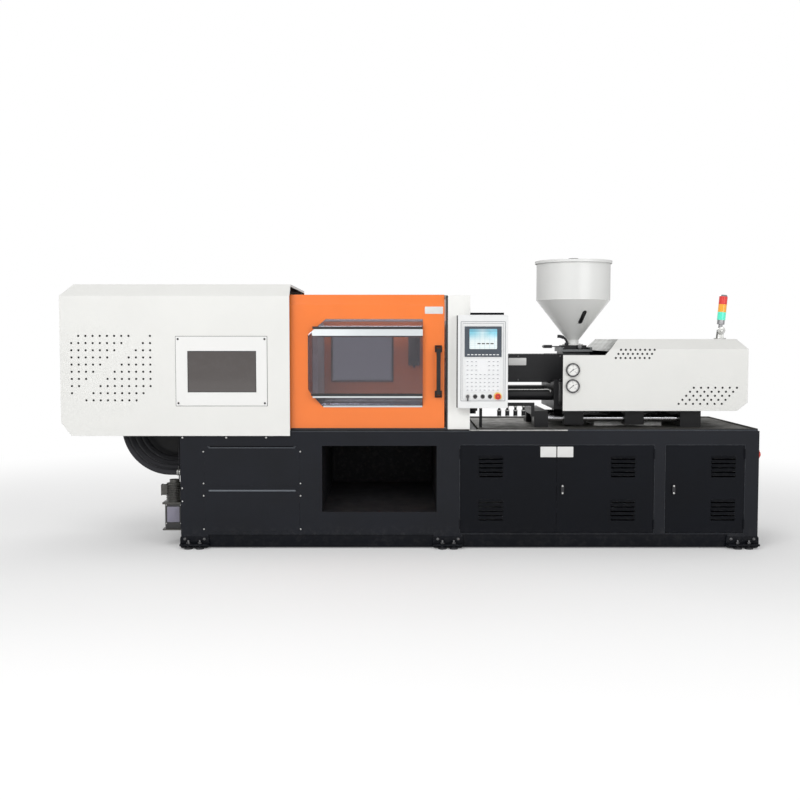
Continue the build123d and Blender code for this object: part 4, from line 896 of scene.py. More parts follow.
@dataclass(frozen=True)
class Polymer(Finish):
    """Moulded plastic or rubber with a fine spark-eroded grain.

    Attributes:
        grain: scale of the grain.
        depth: strength of the grain's bump.
        coat: weight of a top gloss.
        bloom: how far a pale bloom or dust lies on it.
        glow: strength of its own light.
    """

    grain: float = 900.0
    depth: float = 0.12
    coat: float = 0.0
    bloom: float = 0.12
    glow: float = 0.0

    def nodes(self, bench: NodeBench, spot: Socket, shader: bpy.types.Node) -> None:
        """Grains the surface and lays a little bloom on it.

        Args:
            bench: the tree's bench.
            spot: the object coordinates.
            shader: the Principled node.
        """
        cloud = bench.ramp(bench.noise(spot, 22.0, 5.0, 0.65), 0.4, 0.75)
        pale = tuple(0.5 * value + 0.14 for value in self.color)
        color = bench.mix(bench.math("MULTIPLY", cloud, self.bloom), rgba(self.color), rgba(pale))
        rough = bench.math("MULTIPLY_ADD", cloud, 0.12, self.roughness - 0.04)
        bench.feed(shader, {"Base Color": color, "Roughness": rough, "Coat Weight": self.coat})
        if self.glow:
            bench.feed(shader, {"Emission Color": color, "Emission Strength": self.glow})
        self.bump(bench, shader, 0.0003, {"Height": bench.noise(spot, self.grain, 3.0, 0.6),
                                          "Strength": self.depth})


@dataclass(frozen=True)
class Glass(Finish):
    """Clear or smoky pane.

    Attributes:
        transmission: weight of the light that goes through.
        ior: index of refraction.
        haze: how far wiping marks dull it.
    """

    transmission: float = 1.0
    ior: float = 1.45
    haze: float = 0.06

    def nodes(self, bench: NodeBench, spot: Socket, shader: bpy.types.Node) -> None:
        """Sets the transmission and wipes the surface.

        Args:
            bench: the tree's bench.
            spot: the object coordinates.
            shader: the Principled node.
        """
        wipe = bench.ramp(bench.noise(bench.scaled(spot, (4.0, 4.0, 1.0)), 5.0, 5.0, 0.7), 0.35, 0.75)
        bench.feed(shader, {"Roughness": bench.math("MULTIPLY_ADD", wipe, self.haze, self.roughness),
                            "Transmission Weight": self.transmission, "IOR": self.ior})


@dataclass(frozen=True)
class Display(Finish):
    """Lit operator display: a pale gradient with a plain mimic diagram.

    Attributes:
        x: left and right edge.
        z: lower and upper edge.
    """

    x: Span = (403.8, 595.3)
    z: Span = (1409.0, 1548.0)

    def nodes(self, bench: NodeBench, spot: Socket, shader: bpy.types.Node) -> None:
        """Paints the gradient, the header bar and the frames into the emission.

        Args:
            bench: the tree's bench.
            spot: the object coordinates.
            shader: the Principled node.
        """
        split = bench.add("SeparateXYZ", {0: spot}).outputs
        across = bench.ramp(split["X"], self.x[0] * MM, self.x[1] * MM)
        up = bench.ramp(split["Z"], self.z[0] * MM, self.z[1] * MM)
        corner = bench.math("ABSOLUTE", bench.math("SUBTRACT", across, 0.45))
        tint = bench.math("MULTIPLY", bench.math("ADD", corner, 0.25), bench.ramp(up, 0.25, 1.0), clamp=True)
        color = bench.mix(bench.math("MULTIPLY", tint, 1.25, clamp=True), (0.93, 1.0, 0.98, 1.0),
                          (0.06, 0.55, 0.72, 1.0))
        flat = bench.add("CombineXYZ", {0: split["X"], 1: split["Z"]}).outputs[0]
        bricks = bench.add("TexBrick", {"Vector": flat, "Scale": 1.0, "Mortar Size": 0.0016, "Mortar Smooth": 0.0,
                                        "Brick Width": 0.034, "Row Height": 0.0135}, offset=0.0).outputs["Fac"]
        lines = bench.math("MULTIPLY", bricks, bench.ramp(up, 0.93, 0.88))
        color = bench.mix(bench.math("MULTIPLY", lines, 0.35), color, (0.10, 0.35, 0.50, 1.0))
        header = bench.math("GREATER_THAN", up, 0.94)
        color = bench.mix(bench.math("MULTIPLY", header, 0.35), color, (0.03, 0.12, 0.25, 1.0))
        bench.feed(shader, {"Emission Color": color, "Emission Strength": 0.95, "Coat Weight": 1.0})


class Palette:
    """All finishes of the machine."""

    cover_white = Paint("cover_white", "off_white_paint", (0.80, 0.80, 0.775), 0.38, peel_strength=0.04, tone=0.03,
                        wear=0.12, dust=0.12)
    unit_white = replace(cover_white, name="unit_white", color=(0.755, 0.755, 0.73))
    # Brighter copy of the cover white on the column: painted light that lifts the shade the panel casts on its face.
    column_white = replace(cover_white, name="column_white", color=(0.88, 0.88, 0.855), dust=0.10)
    frame_white = Paint("frame_white", "off_white_paint", (0.84, 0.84, 0.825), 0.32, tone=0.02, wear=0.1)
    # Pale strips at the bends of the door's window bay: painted highlights where the bent pane reflects light.
    bend_white = Paint("bend_white", "off_white_paint", (0.66, 0.70, 0.715), 0.22, coat=0.6, tone=0.06, wear=0.0,
                       dust=0.0)
    # Near-black on the hoods' inner faces: painted shade for the dark inside, seen through the vent holes.
    inner_dark = Paint("inner_dark", "off_white_paint", (0.022, 0.022, 0.024), 0.7, coat=0.0, wear=0.05, dust=0.02,
                       specular=0.2)
    door_orange = Paint("door_orange", "orange_paint", (0.93, 0.205, 0.026), 0.34, coat=0.4,
                        worn=(0.95, 0.45, 0.22), wear=0.5, dust=0.08)
    base_blue = Paint("base_blue", "dark_blue_paint", (0.0050, 0.0065, 0.0115), 0.42, coat=0.0, peel=190.0,
                      peel_strength=0.10, tone=0.3, worn=(0.09, 0.10, 0.12), wear=0.7, dust=0.06, dust_level=0.2,
                      specular=0.28)
    door_blue = replace(base_blue, name="door_blue", color=(0.0020, 0.0030, 0.0062), roughness=0.45, dust=0.025,
                        specular=0.16)
    bay_black = Paint("bay_black", "dark_blue_paint", (0.009, 0.010, 0.013), 0.6, coat=0.0, peel=190.0, tone=0.3,
                      wear=0.1, dust=0.05, dust_level=0.0, specular=0.2)
    louvre_black = Paint("louvre_black", "dark_blue_paint", (0.0022, 0.0028, 0.0048), 0.6, coat=0.0, wear=0.2,
                         dust=0.01, dust_level=0.0, specular=0.10)
    # Lighter blue of the panel beads: painted highlight.
    bead_blue = Paint("bead_blue", "dark_blue_paint", (0.10, 0.115, 0.135), 0.35, coat=0.2, wear=0.2, dust=0.05,
                      dust_level=0.0)
    # Lighter copy of the base blue: painted highlight on the cabinet openings' rims and the beads' ends, and the paint
    # of the deck's edge angle.
    trim_blue = Paint("trim_blue", "dark_blue_paint", (0.032, 0.037, 0.046), 0.4, coat=0.0, wear=0.3, dust=0.03,
                      dust_level=0.0, specular=0.3)
    machine_grey = Paint("machine_grey", "grey_paint", (0.17, 0.18, 0.185), 0.45, peel_strength=0.12, tone=0.15,
                         worn=(0.4, 0.4, 0.4), wear=0.5)
    pump_grey = replace(machine_grey, name="pump_grey", color=(0.070, 0.068, 0.062), roughness=0.42, tone=0.2,
                        worn=(0.3, 0.3, 0.3), dust=0.10, dust_level=0.0, specular=0.35)
    black_coat = Paint("black_coat", "black_paint", (0.011, 0.011, 0.013), 0.42, coat=0.05, peel_strength=0.10,
                       tone=0.25, worn=(0.12, 0.12, 0.12), wear=0.5, dust=0.08, specular=0.35)
    panel_white = Paint("panel_white", "panel_grey", (0.80, 0.81, 0.81), 0.36, tone=0.02, wear=0.12, dust=0.06)
    membrane = Paint("membrane_pad", "panel_grey", (0.84, 0.85, 0.86), 0.48, coat=0.0, peel=1400.0,
                     peel_strength=0.12, tone=0.02, wear=0.0, dust=0.0)
    hopper_white = Paint("hopper_white", "white_hopper_paint", (0.78, 0.785, 0.77), 0.33, coat=0.4, tone=0.03,
                         wear=0.15, dust=0.06)
    hopper_bright = Paint("hopper_bright", "white_hopper_paint", (0.86, 0.865, 0.85), 0.28, coat=0.5, tone=0.02,
                          wear=0.0, dust=0.0)
    zinc = Metal("galvanised", "galvanised_sheet", (0.50, 0.50, 0.485), 0.42, Skin.ZINC, 0.85, 0.22, stain=0.35)
    # Darker, duller copy of the galvanised sheet on the deck: painted shade.
    zinc_deck = Metal("deck_plate_painted_shade", "galvanised_sheet", (0.17, 0.165, 0.15), 0.55, Skin.ZINC, 0.55, 0.25, stain=0.5)
    # Pale copy of the galvanised sheet on the drip tray under the injection cover: painted light where the cover shades
    # it.
    tray_bright = Metal("drip_tray_painted_light", "galvanised_sheet", (0.82, 0.82, 0.81), 0.45, Skin.ZINC, 0.25, 0.15,
                        stain=0.3)
    steel = Metal("ground_steel", "machined_steel", (0.52, 0.52, 0.53), 0.30, tone=0.2)
    steel_y = Metal("turned_steel", "machined_steel", (0.50, 0.50, 0.51), 0.32, Skin.BRUSHED_Y, tone=0.2)
    bright = Metal("bright_zinc_screw", "machined_steel", (0.72, 0.72, 0.70), 0.28, Skin.BRUSHED_Z, stain=0.15)
    dark_steel = Metal("dark_steel", "machined_steel", (0.20, 0.20, 0.205), 0.35, Skin.BRUSHED_Z, stain=0.3)
    ring_grey = Metal("gauge_ring", "machined_steel", (0.20, 0.20, 0.205), 0.34, Skin.BRUSHED_Z, tone=0.1, stain=0.1)
    chrome = Metal("hard_chrome", "chromed_steel", (0.66, 0.66, 0.68), 0.13, tone=0.06, depth=0.02, stain=0.15)
    slope_grey = Metal("brushed_slope", "machined_steel", (0.36, 0.365, 0.35), 0.42, Skin.BRUSHED_Y, 0.5, 0.15,
                       stain=0.3)
    casting = Metal("painted_casting", "cast_platen", (0.62, 0.615, 0.61), 0.5, Skin.CAST, 0.15, 0.15, 0.35)
    barrel_steel = Metal("heated_steel", "machined_steel", (0.36, 0.33, 0.30), 0.36, tone=0.3, stain=0.45)
    brass = Metal("brass", "brass_fitting", (0.62, 0.45, 0.20), 0.3, Skin.BRUSHED_Z, stain=0.35)
    black_plastic = Polymer("black_plastic", "black_plastic", (0.014, 0.014, 0.015), 0.42)
    gloss_black = Polymer("gloss_black", "black_plastic", (0.010, 0.010, 0.011), 0.18, depth=0.03, coat=0.4,
                          bloom=0.04)
    handle_black = Polymer("handle_black", "black_plastic", (0.005, 0.004, 0.004), 0.45, depth=0.05, bloom=0.03)
    # Near-black hole walls: painted shade in the vent holes.
    hole_dark = Polymer("vent_hole_painted_shade", "off_white_paint", (0.010, 0.010, 0.010), 0.8, depth=0.0, bloom=0.0)
    rubber = Polymer("hose_rubber", "hose_rubber", (0.008, 0.008, 0.008), 0.62, depth=0.25)
    # Black rubber for real gaskets, also used as painted shade for dark lines at the window frame's edge, the door
    # gaps, the bay's bends and the panel's side.
    gasket = Polymer("window_gasket_and_painted_shade", "black_plastic", (0.020, 0.020, 0.022), 0.6, depth=0.2)
    bezel = Polymer("display_bezel", "screen_blue", (0.060, 0.075, 0.095), 0.38, depth=0.06, bloom=0.03)
    # Black sheet laid just behind the vent holes: painted shade for the dark inside.
    filter_black = Polymer("vent_shade_sheet", "black_plastic", (0.006, 0.006, 0.006), 0.8, depth=0.1, bloom=0.0)
    dark_red = Polymer("dark_red_mark", "stop_red", (0.12, 0.012, 0.010), 0.5, depth=0.0, bloom=0.0)
    # Grey for the printed key marks, and for the painted shadow lines round the panel's rim.
    legend = replace(dark_red, name="grey_legend_and_shade", slot="panel_grey", color=(0.34, 0.35, 0.37))
    pale_mark = replace(dark_red, name="pale_mark", slot="panel_grey", color=(0.80, 0.82, 0.82))
    dark_mark = replace(dark_red, name="dark_mark", slot="black_plastic", color=(0.03, 0.03, 0.035))
    plate_grey = Polymer("blank_plate", "panel_grey", (0.72, 0.72, 0.71), 0.35, 1500.0, 0.04, bloom=0.05)
    plate_mauve = Polymer("tank_plate", "grey_paint", (0.22, 0.21, 0.27), 0.4, 1500.0, 0.05, bloom=0.2)
    dial_white = Polymer("dial_white", "panel_grey", (0.82, 0.82, 0.80), 0.45, depth=0.0, bloom=0.02)
    stop_red = Polymer("stop_red", "stop_red", (0.42, 0.040, 0.022), 0.3, depth=0.04, coat=0.3, bloom=0.04)
    stop_yellow = Polymer("stop_yellow", "stop_red", (0.90, 0.74, 0.22), 0.42, depth=0.03, bloom=0.03)
    sight_black = Polymer("sight_glass", "black_plastic", (0.012, 0.012, 0.013), 0.08, 40.0, 0.01, 0.6, 0.02)
    dark_glass = Polymer("dark_window", "dark_pane", (0.085, 0.075, 0.072), 0.12, 30.0, 0.01, 0.5, 0.05)
    lens_red = Polymer("lens_red", "lens_red", (0.62, 0.035, 0.020), 0.16, 60.0, 0.02, 0.8, 0.02, 0.12)
    lens_amber = replace(lens_red, name="lens_amber", color=(0.92, 0.40, 0.03), glow=0.15)
    lens_green = replace(lens_red, name="lens_green", color=(0.10, 0.78, 0.55), glow=0.25)
    # Lighter and darker copies of one smoked pane: the front's lighter tint is painted light on the mould space behind
    # it, the rear's darker tint is painted shade on the far side.
    smoke_front = Glass("smoky_front_pane", "smoked_pane", (0.56, 0.54, 0.60), 0.06, 0.95, haze=0.010)
    # Much darker copy of the smoked pane for its lower facet that looks down: painted shade.
    smoke_foot = Glass("smoky_foot_bend_shade", "smoked_pane", (0.16, 0.17, 0.19), 0.08, 0.94, haze=0.010)
    smoke_rear = Glass("smoky_rear_pane", "smoked_pane", (0.150, 0.154, 0.172), 0.05)
    display = Display("lit_display", "screen_blue", (0.03, 0.04, 0.05), 0.2)


def dress(piece: Piece, finish: Finish, body: str = "machine") -> Piece:
    """Smooths a new piece, gives it its finish and fixes it to a body.

    Args:
        piece: the new piece.
        finish: its finish.
        body: the CAD body that it moves with.

    Returns:
        The piece.
    """
    take(piece)
    bpy.ops.object.shade_smooth_by_angle(angle=math.radians(32.0))
    piece.data.materials.clear()
    piece.data.materials.append(finish.material())
    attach(piece, body)
    LOG.info("%s rides on %s in %s, %d faces", piece.name, body, finish.name, len(piece.data.polygons))
    return piece


def fit(name: str, finish: Finish, pieces: Sequence[Piece], body: str = "machine") -> Piece:
    """Joins pieces and dresses them as one."""
    return dress(join(name, pieces), finish, body)


def blocks(name: str, finish: Finish, rows: Sequence[tuple], body: str = "machine") -> Piece:
    """Joins blocks and dresses them as one.

    Args:
        name: the joined piece's name.
        finish: its finish.
        rows: for each block its x, y and z, and what else block() takes.
        body: the CAD body that it moves with.

    Returns:
        The piece.
    """
    return fit(name, finish, [block("part", *row) for row in rows], body)


def repeat(name: str, finish: Finish, source: Piece, places: Sequence[Place], body: str = "machine") -> Piece:
    """Copies a piece to its places and dresses the copies as one."""
    return dress(copies(name, source, places), finish, body)


def vent_liners(name: str, holes: Sequence[Span], face: float, body: str) -> None:
    """Dark rings in the vent holes of a hood's front: painted shade that darkens the holes.

    Args:
        name: the piece's name.
        holes: X and Z of each hole.
        face: Y of the hood's face.
        body: the CAD body that carries the hood.
    """
    shade_ring = ring("shade_ring", (0, 0, 0), Facing.FRONT, (3.6, 7.8), (-0.5, 0.6), 0.0, 12)
    repeat(name, Palette.hole_dark, shade_ring, [(x, face, z) for x, z in holes], body)


def dress_node(node: str, finish: Finish, *others: tuple[Finish, Callable[[Vector, Vector], bool]]) -> None:
    """Gives a CAD node its finish, and other finishes to chosen faces.

    Args:
        node: the CAD node's name.
        finish: the finish of all faces that no test takes.
        *others: (finish, test) where the test reads a face's centre in millimetres and its normal.
    """
    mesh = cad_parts[node].data
    mesh.materials.clear()
    for worn in (finish, *(other for other, _ in others)):
        mesh.materials.append(worn.material())
    for face in mesh.polygons:
        face.material_index = 0
        for number, (_, test) in enumerate(others, 1):
            if test(face.center / MM, face.normal):
                face.material_index = number


def dress_nodes(finish: Finish, *nodes: str) -> None:
    """Gives several CAD nodes the same finish."""
    for node in nodes:
        dress_node(node, finish)


def looks_in(spot: Vector, normal: Vector) -> bool:
    """True on a side wall's face that looks at the machine's middle plane."""
    return -normal.y * math.copysign(1.0, spot.y) > 0.3


# Sub-assemblies


@dataclass
class ClampCover:
    """White hood over the clamp, with its screwed window frame, grille and bulkhead."""

    face: float = -612.0
    sheet: float = 3.0
    frame_x: Span = (-1642.0, -1006.0)
    frame_z: Span = (1012.0, 1496.0)
    glass_x: Span = (-1557.0, -1085.0)
    glass_z: Span = (1110.0, 1391.0)
    foot_screw_x: tuple[float, ...] = (-1607.0, -1299.0, -1019.0)
    foot_screw_z: float = 787.0
    base_face: float = -590.0
    eave: float = 1700.0
    wall: float = 530.0
    end: float = -2440.0
    mouth: float = -848.0
    hem: tuple[Span, ...] = ((-608.8, 1776.8), (-526.9, 1858.8), (526.9, 1858.8), (608.8, 1776.8),
                             (599.6, 1767.6), (521.5, 1845.8), (-521.5, 1845.8), (-599.6, 1767.6))
    grille_x: Span = (-2385.0, -1805.0)
    grille_z: Span = (1035.0, 1515.0)
    hole: Place = (-2370.0, 1500.0, 50.0)
    hole_count: tuple[int, int] = (12, 10)
    hole_gap: tuple[int, int] = (9, 10)
    bulkhead: tuple[Span, ...] = ((-2081.0, -1894.0), (-608.9, -250.0), (924.0, 971.0))
    gusset: tuple[Span, ...] = ((-1625.4, 924.0), (-2092.0, 924.0), (-2092.0, 780.0), (-2054.0, 670.0),
                                (-1978.0, 581.0), (-1878.0, 524.0), (-1800.0, 506.0), (-1625.4, 506.0))
    gusset_y: float = 236.0

    def build(self) -> None:
        """Dresses the hood and adds its screws, beads, hem and brackets, and the dark sheet and rings that paint shade
        into its vent holes.
        """
        dress_node("clamp_cover", Palette.cover_white, (Palette.frame_white, lambda c, n: c.y < self.face - 0.2),
                   (Palette.inner_dark, self.is_inner), (Palette.hole_dark, self.is_vent_hole),
                   (Palette.black_coat, lambda c, n: within(c, *self.bulkhead)))
        dress_node("clamp_window", Palette.dark_glass)
        repeat("window_frame_screws", Palette.black_plastic, socket_screw(7.5, 3.5),
               grid(inset(self.frame_x, 16), [self.face - self.sheet], inset(self.frame_z, 18)))
        # The outer bars are a dark line as painted shadow along the frame's edge; the inner bars are the glass's rubber
        # bead.
        seam = bars(self.frame_x, (self.face - 0.6, self.face + 1.0), self.frame_z, 3.0, 0.3)
        bead = bars(self.glass_x, (self.face - 1.6, self.face + 1.0), self.glass_z, 4.0, 0.3)
        fit("window_frame_bead", Palette.gasket, seam + bead)
        for name, y, facing in (("hood_foot_screws", self.base_face, Facing.FRONT),
                                ("hood_foot_screws_back", -self.base_face, Facing.BACK)):
            repeat(name, Palette.bright, socket_screw(8.0, 5.0, facing),
                   grid(self.foot_screw_x, [y], [self.foot_screw_z]))
        dress(slab("hood_hem", self.hem, 0, self.mouth - 3.2, self.mouth - 0.3, 0.5), Palette.frame_white)
        inside = self.face + self.sheet
        # Black sheet behind the grille's holes: painted shade.
        blocks("grille_shade_sheet", Palette.filter_black,
               [(self.grille_x, (inside + 0.2, inside + 2.6), self.grille_z, 0.4)])
        vent_liners("hood_vent_shade_rings", self.holes(), self.face, "machine")
        self.gussets()

    def holes(self) -> list[Span]:
        """X and Z of the grille's holes.

        Returns:
            The places.
        """
        (x, z, pitch), (columns, rows) = self.hole, self.hole_count
        return [(x + pitch * column, z - pitch * row) for column in range(columns) for row in range(rows)
                if 1 <= column + row <= columns + rows - 4 and column + row not in self.hole_gap]

    def gussets(self) -> None:
        """Folded brackets on the base's end under the overhanging hood, behind the hoses."""
        sides = (-self.gusset_y, self.gusset_y)
        x, z = (self.gusset[0][0], self.gusset[1][0]), self.gusset[0][1]
        plates = [slab("gusset", self.gusset, 1, y - 3, y + 3, 0.8) for y in sides]
        flanges = [block("flange", x, (y - 3, y + 30), (z - 5, z - 0.5), 0.8) for y in sides]
        fit("overhang_brackets", Palette.black_coat, plates + flanges)

    def is_inner(self, spot: Vector, normal: Vector) -> bool:
        """True on the hood's inner faces, which get a near-black finish as painted shade.

        Args:
            spot: the face's centre in millimetres.
            normal: the face's normal.

        Returns:
            Whether the face is one of them.
        """
        if self.wall < abs(spot.y) < -self.face - 1.5 and looks_in(spot, normal):
            return True
        return (spot.z > self.eave and normal.z < -0.3) or (spot.x < self.end and normal.x > 0.5)

    def is_vent_hole(self, spot: Vector, normal: Vector) -> bool:
        """True on the walls of the grille's holes."""
        return abs(normal.y) < 0.3 and within(spot, self.grille_x, (self.face, self.face + self.sheet), self.grille_z)


@dataclass
class SafetyDoors:
    """The two orange sliding doors with their windows, trims and handles."""

    face: float = -555.0
    bay: float = -598.0
    right: float = 82.0
    strip_z: Span = (1501.0, 1547.0)
    foot_bend_z: float = 1072.0
    rear_grip: tuple[Span, ...] = ((130.0, 195.0), (556.0, 1000.0), (1060.0, 1440.0))
    rear_window_x: Span = (-621.0, -144.0)
    rear_window_z: Span = (1145.0, 1560.0)
    lock: tuple[Span, ...] = ((-10.0, 84.0), (526.0, 551.8), (1264.0, 1510.0))
    handle_screw_x: Span = (172.6, 212.4)
    handle_screw_z: tuple[float, ...] = (1076.0, 1106.0, 1395.0, 1425.0)

    def build(self) -> None:
        """Dresses both doors and adds their trims."""
        dress_node("front_door", Palette.door_orange)
        dress_node("rear_door", Palette.door_orange, (Palette.black_plastic, lambda c, n: within(c, *self.rear_grip)))
        dress_node("front_door_pane", Palette.smoke_front,
                   # Upper strip of the pane at its bend: painted highlight.
                   (Palette.bend_white, lambda c, n: self.strip_z[0] < c.z < self.strip_z[1] and n.y < -0.9
                    and n.z > 0.1),
                   # Lower facet that looks down: darker tint as painted shade.
                   (Palette.smoke_foot, lambda c, n: c.z < self.foot_bend_z and n.z < -0.3))
        dress_node("rear_door_pane", Palette.smoke_rear)
        dress_node("front_door_handle", Palette.handle_black)
        dress_node("door_rails", Palette.zinc)
        self.trims()
        self.interlock()
        self.sweeps()

    def trims(self) -> None:
        """Painted highlights and painted shade bands at the bay's bends, handle screws, blank plate and the far
        window's rubber bead.
        """
        face, right, y = self.face, self.right, (self.bay - 1.2, self.bay + 2.0)
        blocks("bay_bend_highlight", Palette.bend_white,
               [((-690.0, right - 2), y, (1066.0, 1078.0), 0.8),
                ((-618.0, right - 2), (face - 4.0, face - 0.2), (998.0, 1012.0), 0.8)], "front_door")
        # Dark bands at the bay's bends: painted shade.
        blocks("bay_bend_shade", Palette.gasket,
               [((-700.0, right - 1), y, (1079.0, 1097.0), 0.5),
                ((-690.0, right - 1), (self.bay + 8.0, self.bay + 11.5), (1548.0, 1566.0), 0.5)], "front_door")
        repeat("door_handle_screws", Palette.handle_black, socket_screw(3.6, 2.0),
               grid(self.handle_screw_x, [face - 12.0], self.handle_screw_z), "front_door")
        blocks("front_door_blank_plate", Palette.plate_grey,
               [((97.0, 225.0), (face - 0.7, face + 0.2), (1655.0, 1705.0), 0.2, 4.0)], "front_door")
        fit("far_window_bead", Palette.gasket,
            bars(self.rear_window_x, (554.8, 558.0), self.rear_window_z, 8.0, 1.2), "rear_door")

    def sweeps(self) -> None:
        """Dark strips below and beside the front door: painted shade in the gaps."""
        blocks("door_shade_strips", Palette.gasket,
               [((-846.0, 412.0), (self.face - 5.0, self.face - 1.0), (833.4, 851.0), 0.8),
                ((246.0, 258.7), (self.face - 8.0, self.face + 14.0), (851.5, 1782.0), 1.0)])

    def interlock(self) -> None:
        """Limit switch case with its cable gland and cover screws, inside the far door."""
        x, (y0, y1), z = self.lock
        case = block("case", x, (y0 + 3, y1), z, 2.0, 6.0)
        lid = block("lid", inset(x, 5), (y0, y0 + 3.2), inset(z, 5), 1.0, 5.0)
        gland = turned("gland", (sum(x) / 2, (y0 + y1) / 2, z[0] + 1), Facing.DOWN,
                       [(9, 0), (9, 8), (7, 9), (7, 18)], 20, 0.6)
        fit("far_door_interlock", Palette.handle_black, [case, lid, gland], "rear_door")
        repeat("far_door_interlock_screws", Palette.bright, socket_screw(3.6, 2.0),
               grid(inset(x, 13), [y0], inset(z, 13)), "rear_door")


@dataclass
class OperatorPanel:
    """Control panel on the column: display, keypad, switches and hood."""

    front: float = -655.0
    box_top: float = 1645.0
    pad: tuple[Span, ...] = ((374.0, 618.0), (-656.8, -656.2), (1108.0, 1342.0))
    rim_x: Span = (348.0, 650.0)
    rim_z: Span = (1051.0, 1596.0)
    screen_front: float = -661.0
    dash_z: float = 1369.7
    field_z: float = 1446.0
    key_rows: tuple[float, ...] = (1124.0, 1151.0, 1178.0, 1205.0, 1232.0, 1263.0, 1294.0, 1322.0)
    row_z: float = 1079.6
    button_x: tuple[float, ...] = (445.0, 497.0, 548.0)
    key_x: float = 393.0
    stop_x: float = 602.0
    stop_plate: float = 31.0
    stop_head: float = -679.0

    def build(self) -> None:
        """Dresses the panel and adds its display, keys and rings."""
        dress_node("panel_housing", Palette.panel_white,
                   (Palette.black_plastic, lambda c, n: c.z > self.box_top + 0.3),
                   (Palette.membrane, lambda c, n: within(c, *self.pad)),
                   (Palette.stop_yellow, lambda c, n: c.y < self.front - 0.5
                    and math.hypot(c.x - self.stop_x, c.z - self.row_z) < self.stop_plate))
        dress_node("panel_screen", Palette.bezel)
        dress_node("key_switch", Palette.dark_steel)
        dress_nodes(Palette.gloss_black, "button_left", "button_middle", "button_right")
        dress_node("emergency_stop", Palette.stop_red)
        self.display()
        self.keypad()
        self.rings()
        self.rim_line()

    def display(self) -> None:
        """Lit glass in the bezel with its plain fields, and a row of pale keys under it."""
        glass, y = Palette.display, self.screen_front
        blocks("display_glass", glass, [(glass.x, (y - 0.8, y + 1), glass.z, 0.4, 6.0)])
        dash = block("dash", (-8.5, 8.5), (-0.8, 0.4), (-3.2, 3.2), 0.3, 1.5)
        repeat("bezel_keys", Palette.pale_mark, dash, grid(spread(398.0, 600.0, 9), [y], [self.dash_z]))
        field = block("field", (-11.0, 11.0), (-0.3, 0.2), (-4.0, 4.0), 0.1, 1.0)
        repeat("display_fields", Palette.dark_mark, field, grid(spread(470.0, 560.0, 4), [y - 0.8], [self.field_z]))

    def keypad(self) -> None:
        """Raised membrane keys, each with a plain mark; the upper rows leave out the two middle ones."""
        front = self.front - 1.5
        places = [(x, front, z) for row, z in enumerate(self.key_rows)
                  for column, x in enumerate(spread(391.0, 601.0, 8)) if not (row > 4 and column in (3, 4))]
        key = block("key", (-12.0, 12.0), (-1.0, 0.3), (-9.5, 9.5), 0.4, 3.0)
        repeat("membrane_keys", Palette.membrane, key, places)
        mark = block("mark", (-6.5, 6.5), (-0.25, 0.1), (-2.4, 2.4), 0.1)
        repeat("membrane_marks", Palette.legend, mark, [(x, y - 1.0, z) for x, y, z in places])

    def rings(self) -> None:
        """Rings round the switches."""
        y = self.front - 4.0
        for name, finish, at, radii, heights, soft, body in (
                ("button_rings", Palette.black_plastic, [(x, y) for x in self.button_x], (11.8, 15.0), (-0.2, 1.4), 0.4,
                 "machine"),
                ("key_switch_ring", Palette.bright, [(self.key_x, y)], (11.8, 16.5), (-0.3, 1.6), 0.4, "machine"),
                ("stop_head_mark", Palette.dark_red, [(self.stop_x, self.stop_head)], (8.5, 12.5), (-0.4, 0.3), 0.2,
                 "emergency_stop"),
                ("stop_plate_rim", Palette.stop_yellow, [(self.stop_x, self.front - 1.5)], (24.5, 29.0), (-0.3, 1.0),
                 0.3, "machine")):
            fit(name, finish, [ring("ring", (x, depth, self.row_z), Facing.FRONT, radii, heights, soft)
                               for x, depth in at], body)

    def rim_line(self) -> None:
        """Painted grey shadow lines inside and outside the raised rim, a painted dark shadow line along the left side,
        and the hood's front.
        """
        y = (self.front - 0.5, self.front + 0.5)
        rows = []
        for grow, half in ((-9.5, 1.6), (2.2, 2.4)):
            x, z = inset(self.rim_x, -grow), inset(self.rim_z, -grow)
            rows += [(x, y, (at - half, at + half), 0.2) for at in z]
            rows += [((at - half, at + half), y, z, 0.2) for at in x]
        blocks("panel_rim_line", Palette.legend, rows)
        # Dark strip along the panel's left side: painted shadow line.
        blocks("panel_side_shadow_line", Palette.gasket,
               [((317.6, 323.5), (self.front - 0.6, -600.0), (1001.0, self.box_top - 3), 0.5)])
        blocks("panel_hood_front", Palette.louvre_black,
               [((410.0, 643.0), (-648.5, -644.6), (self.box_top + 0.2, 1660.5), 0.6)])


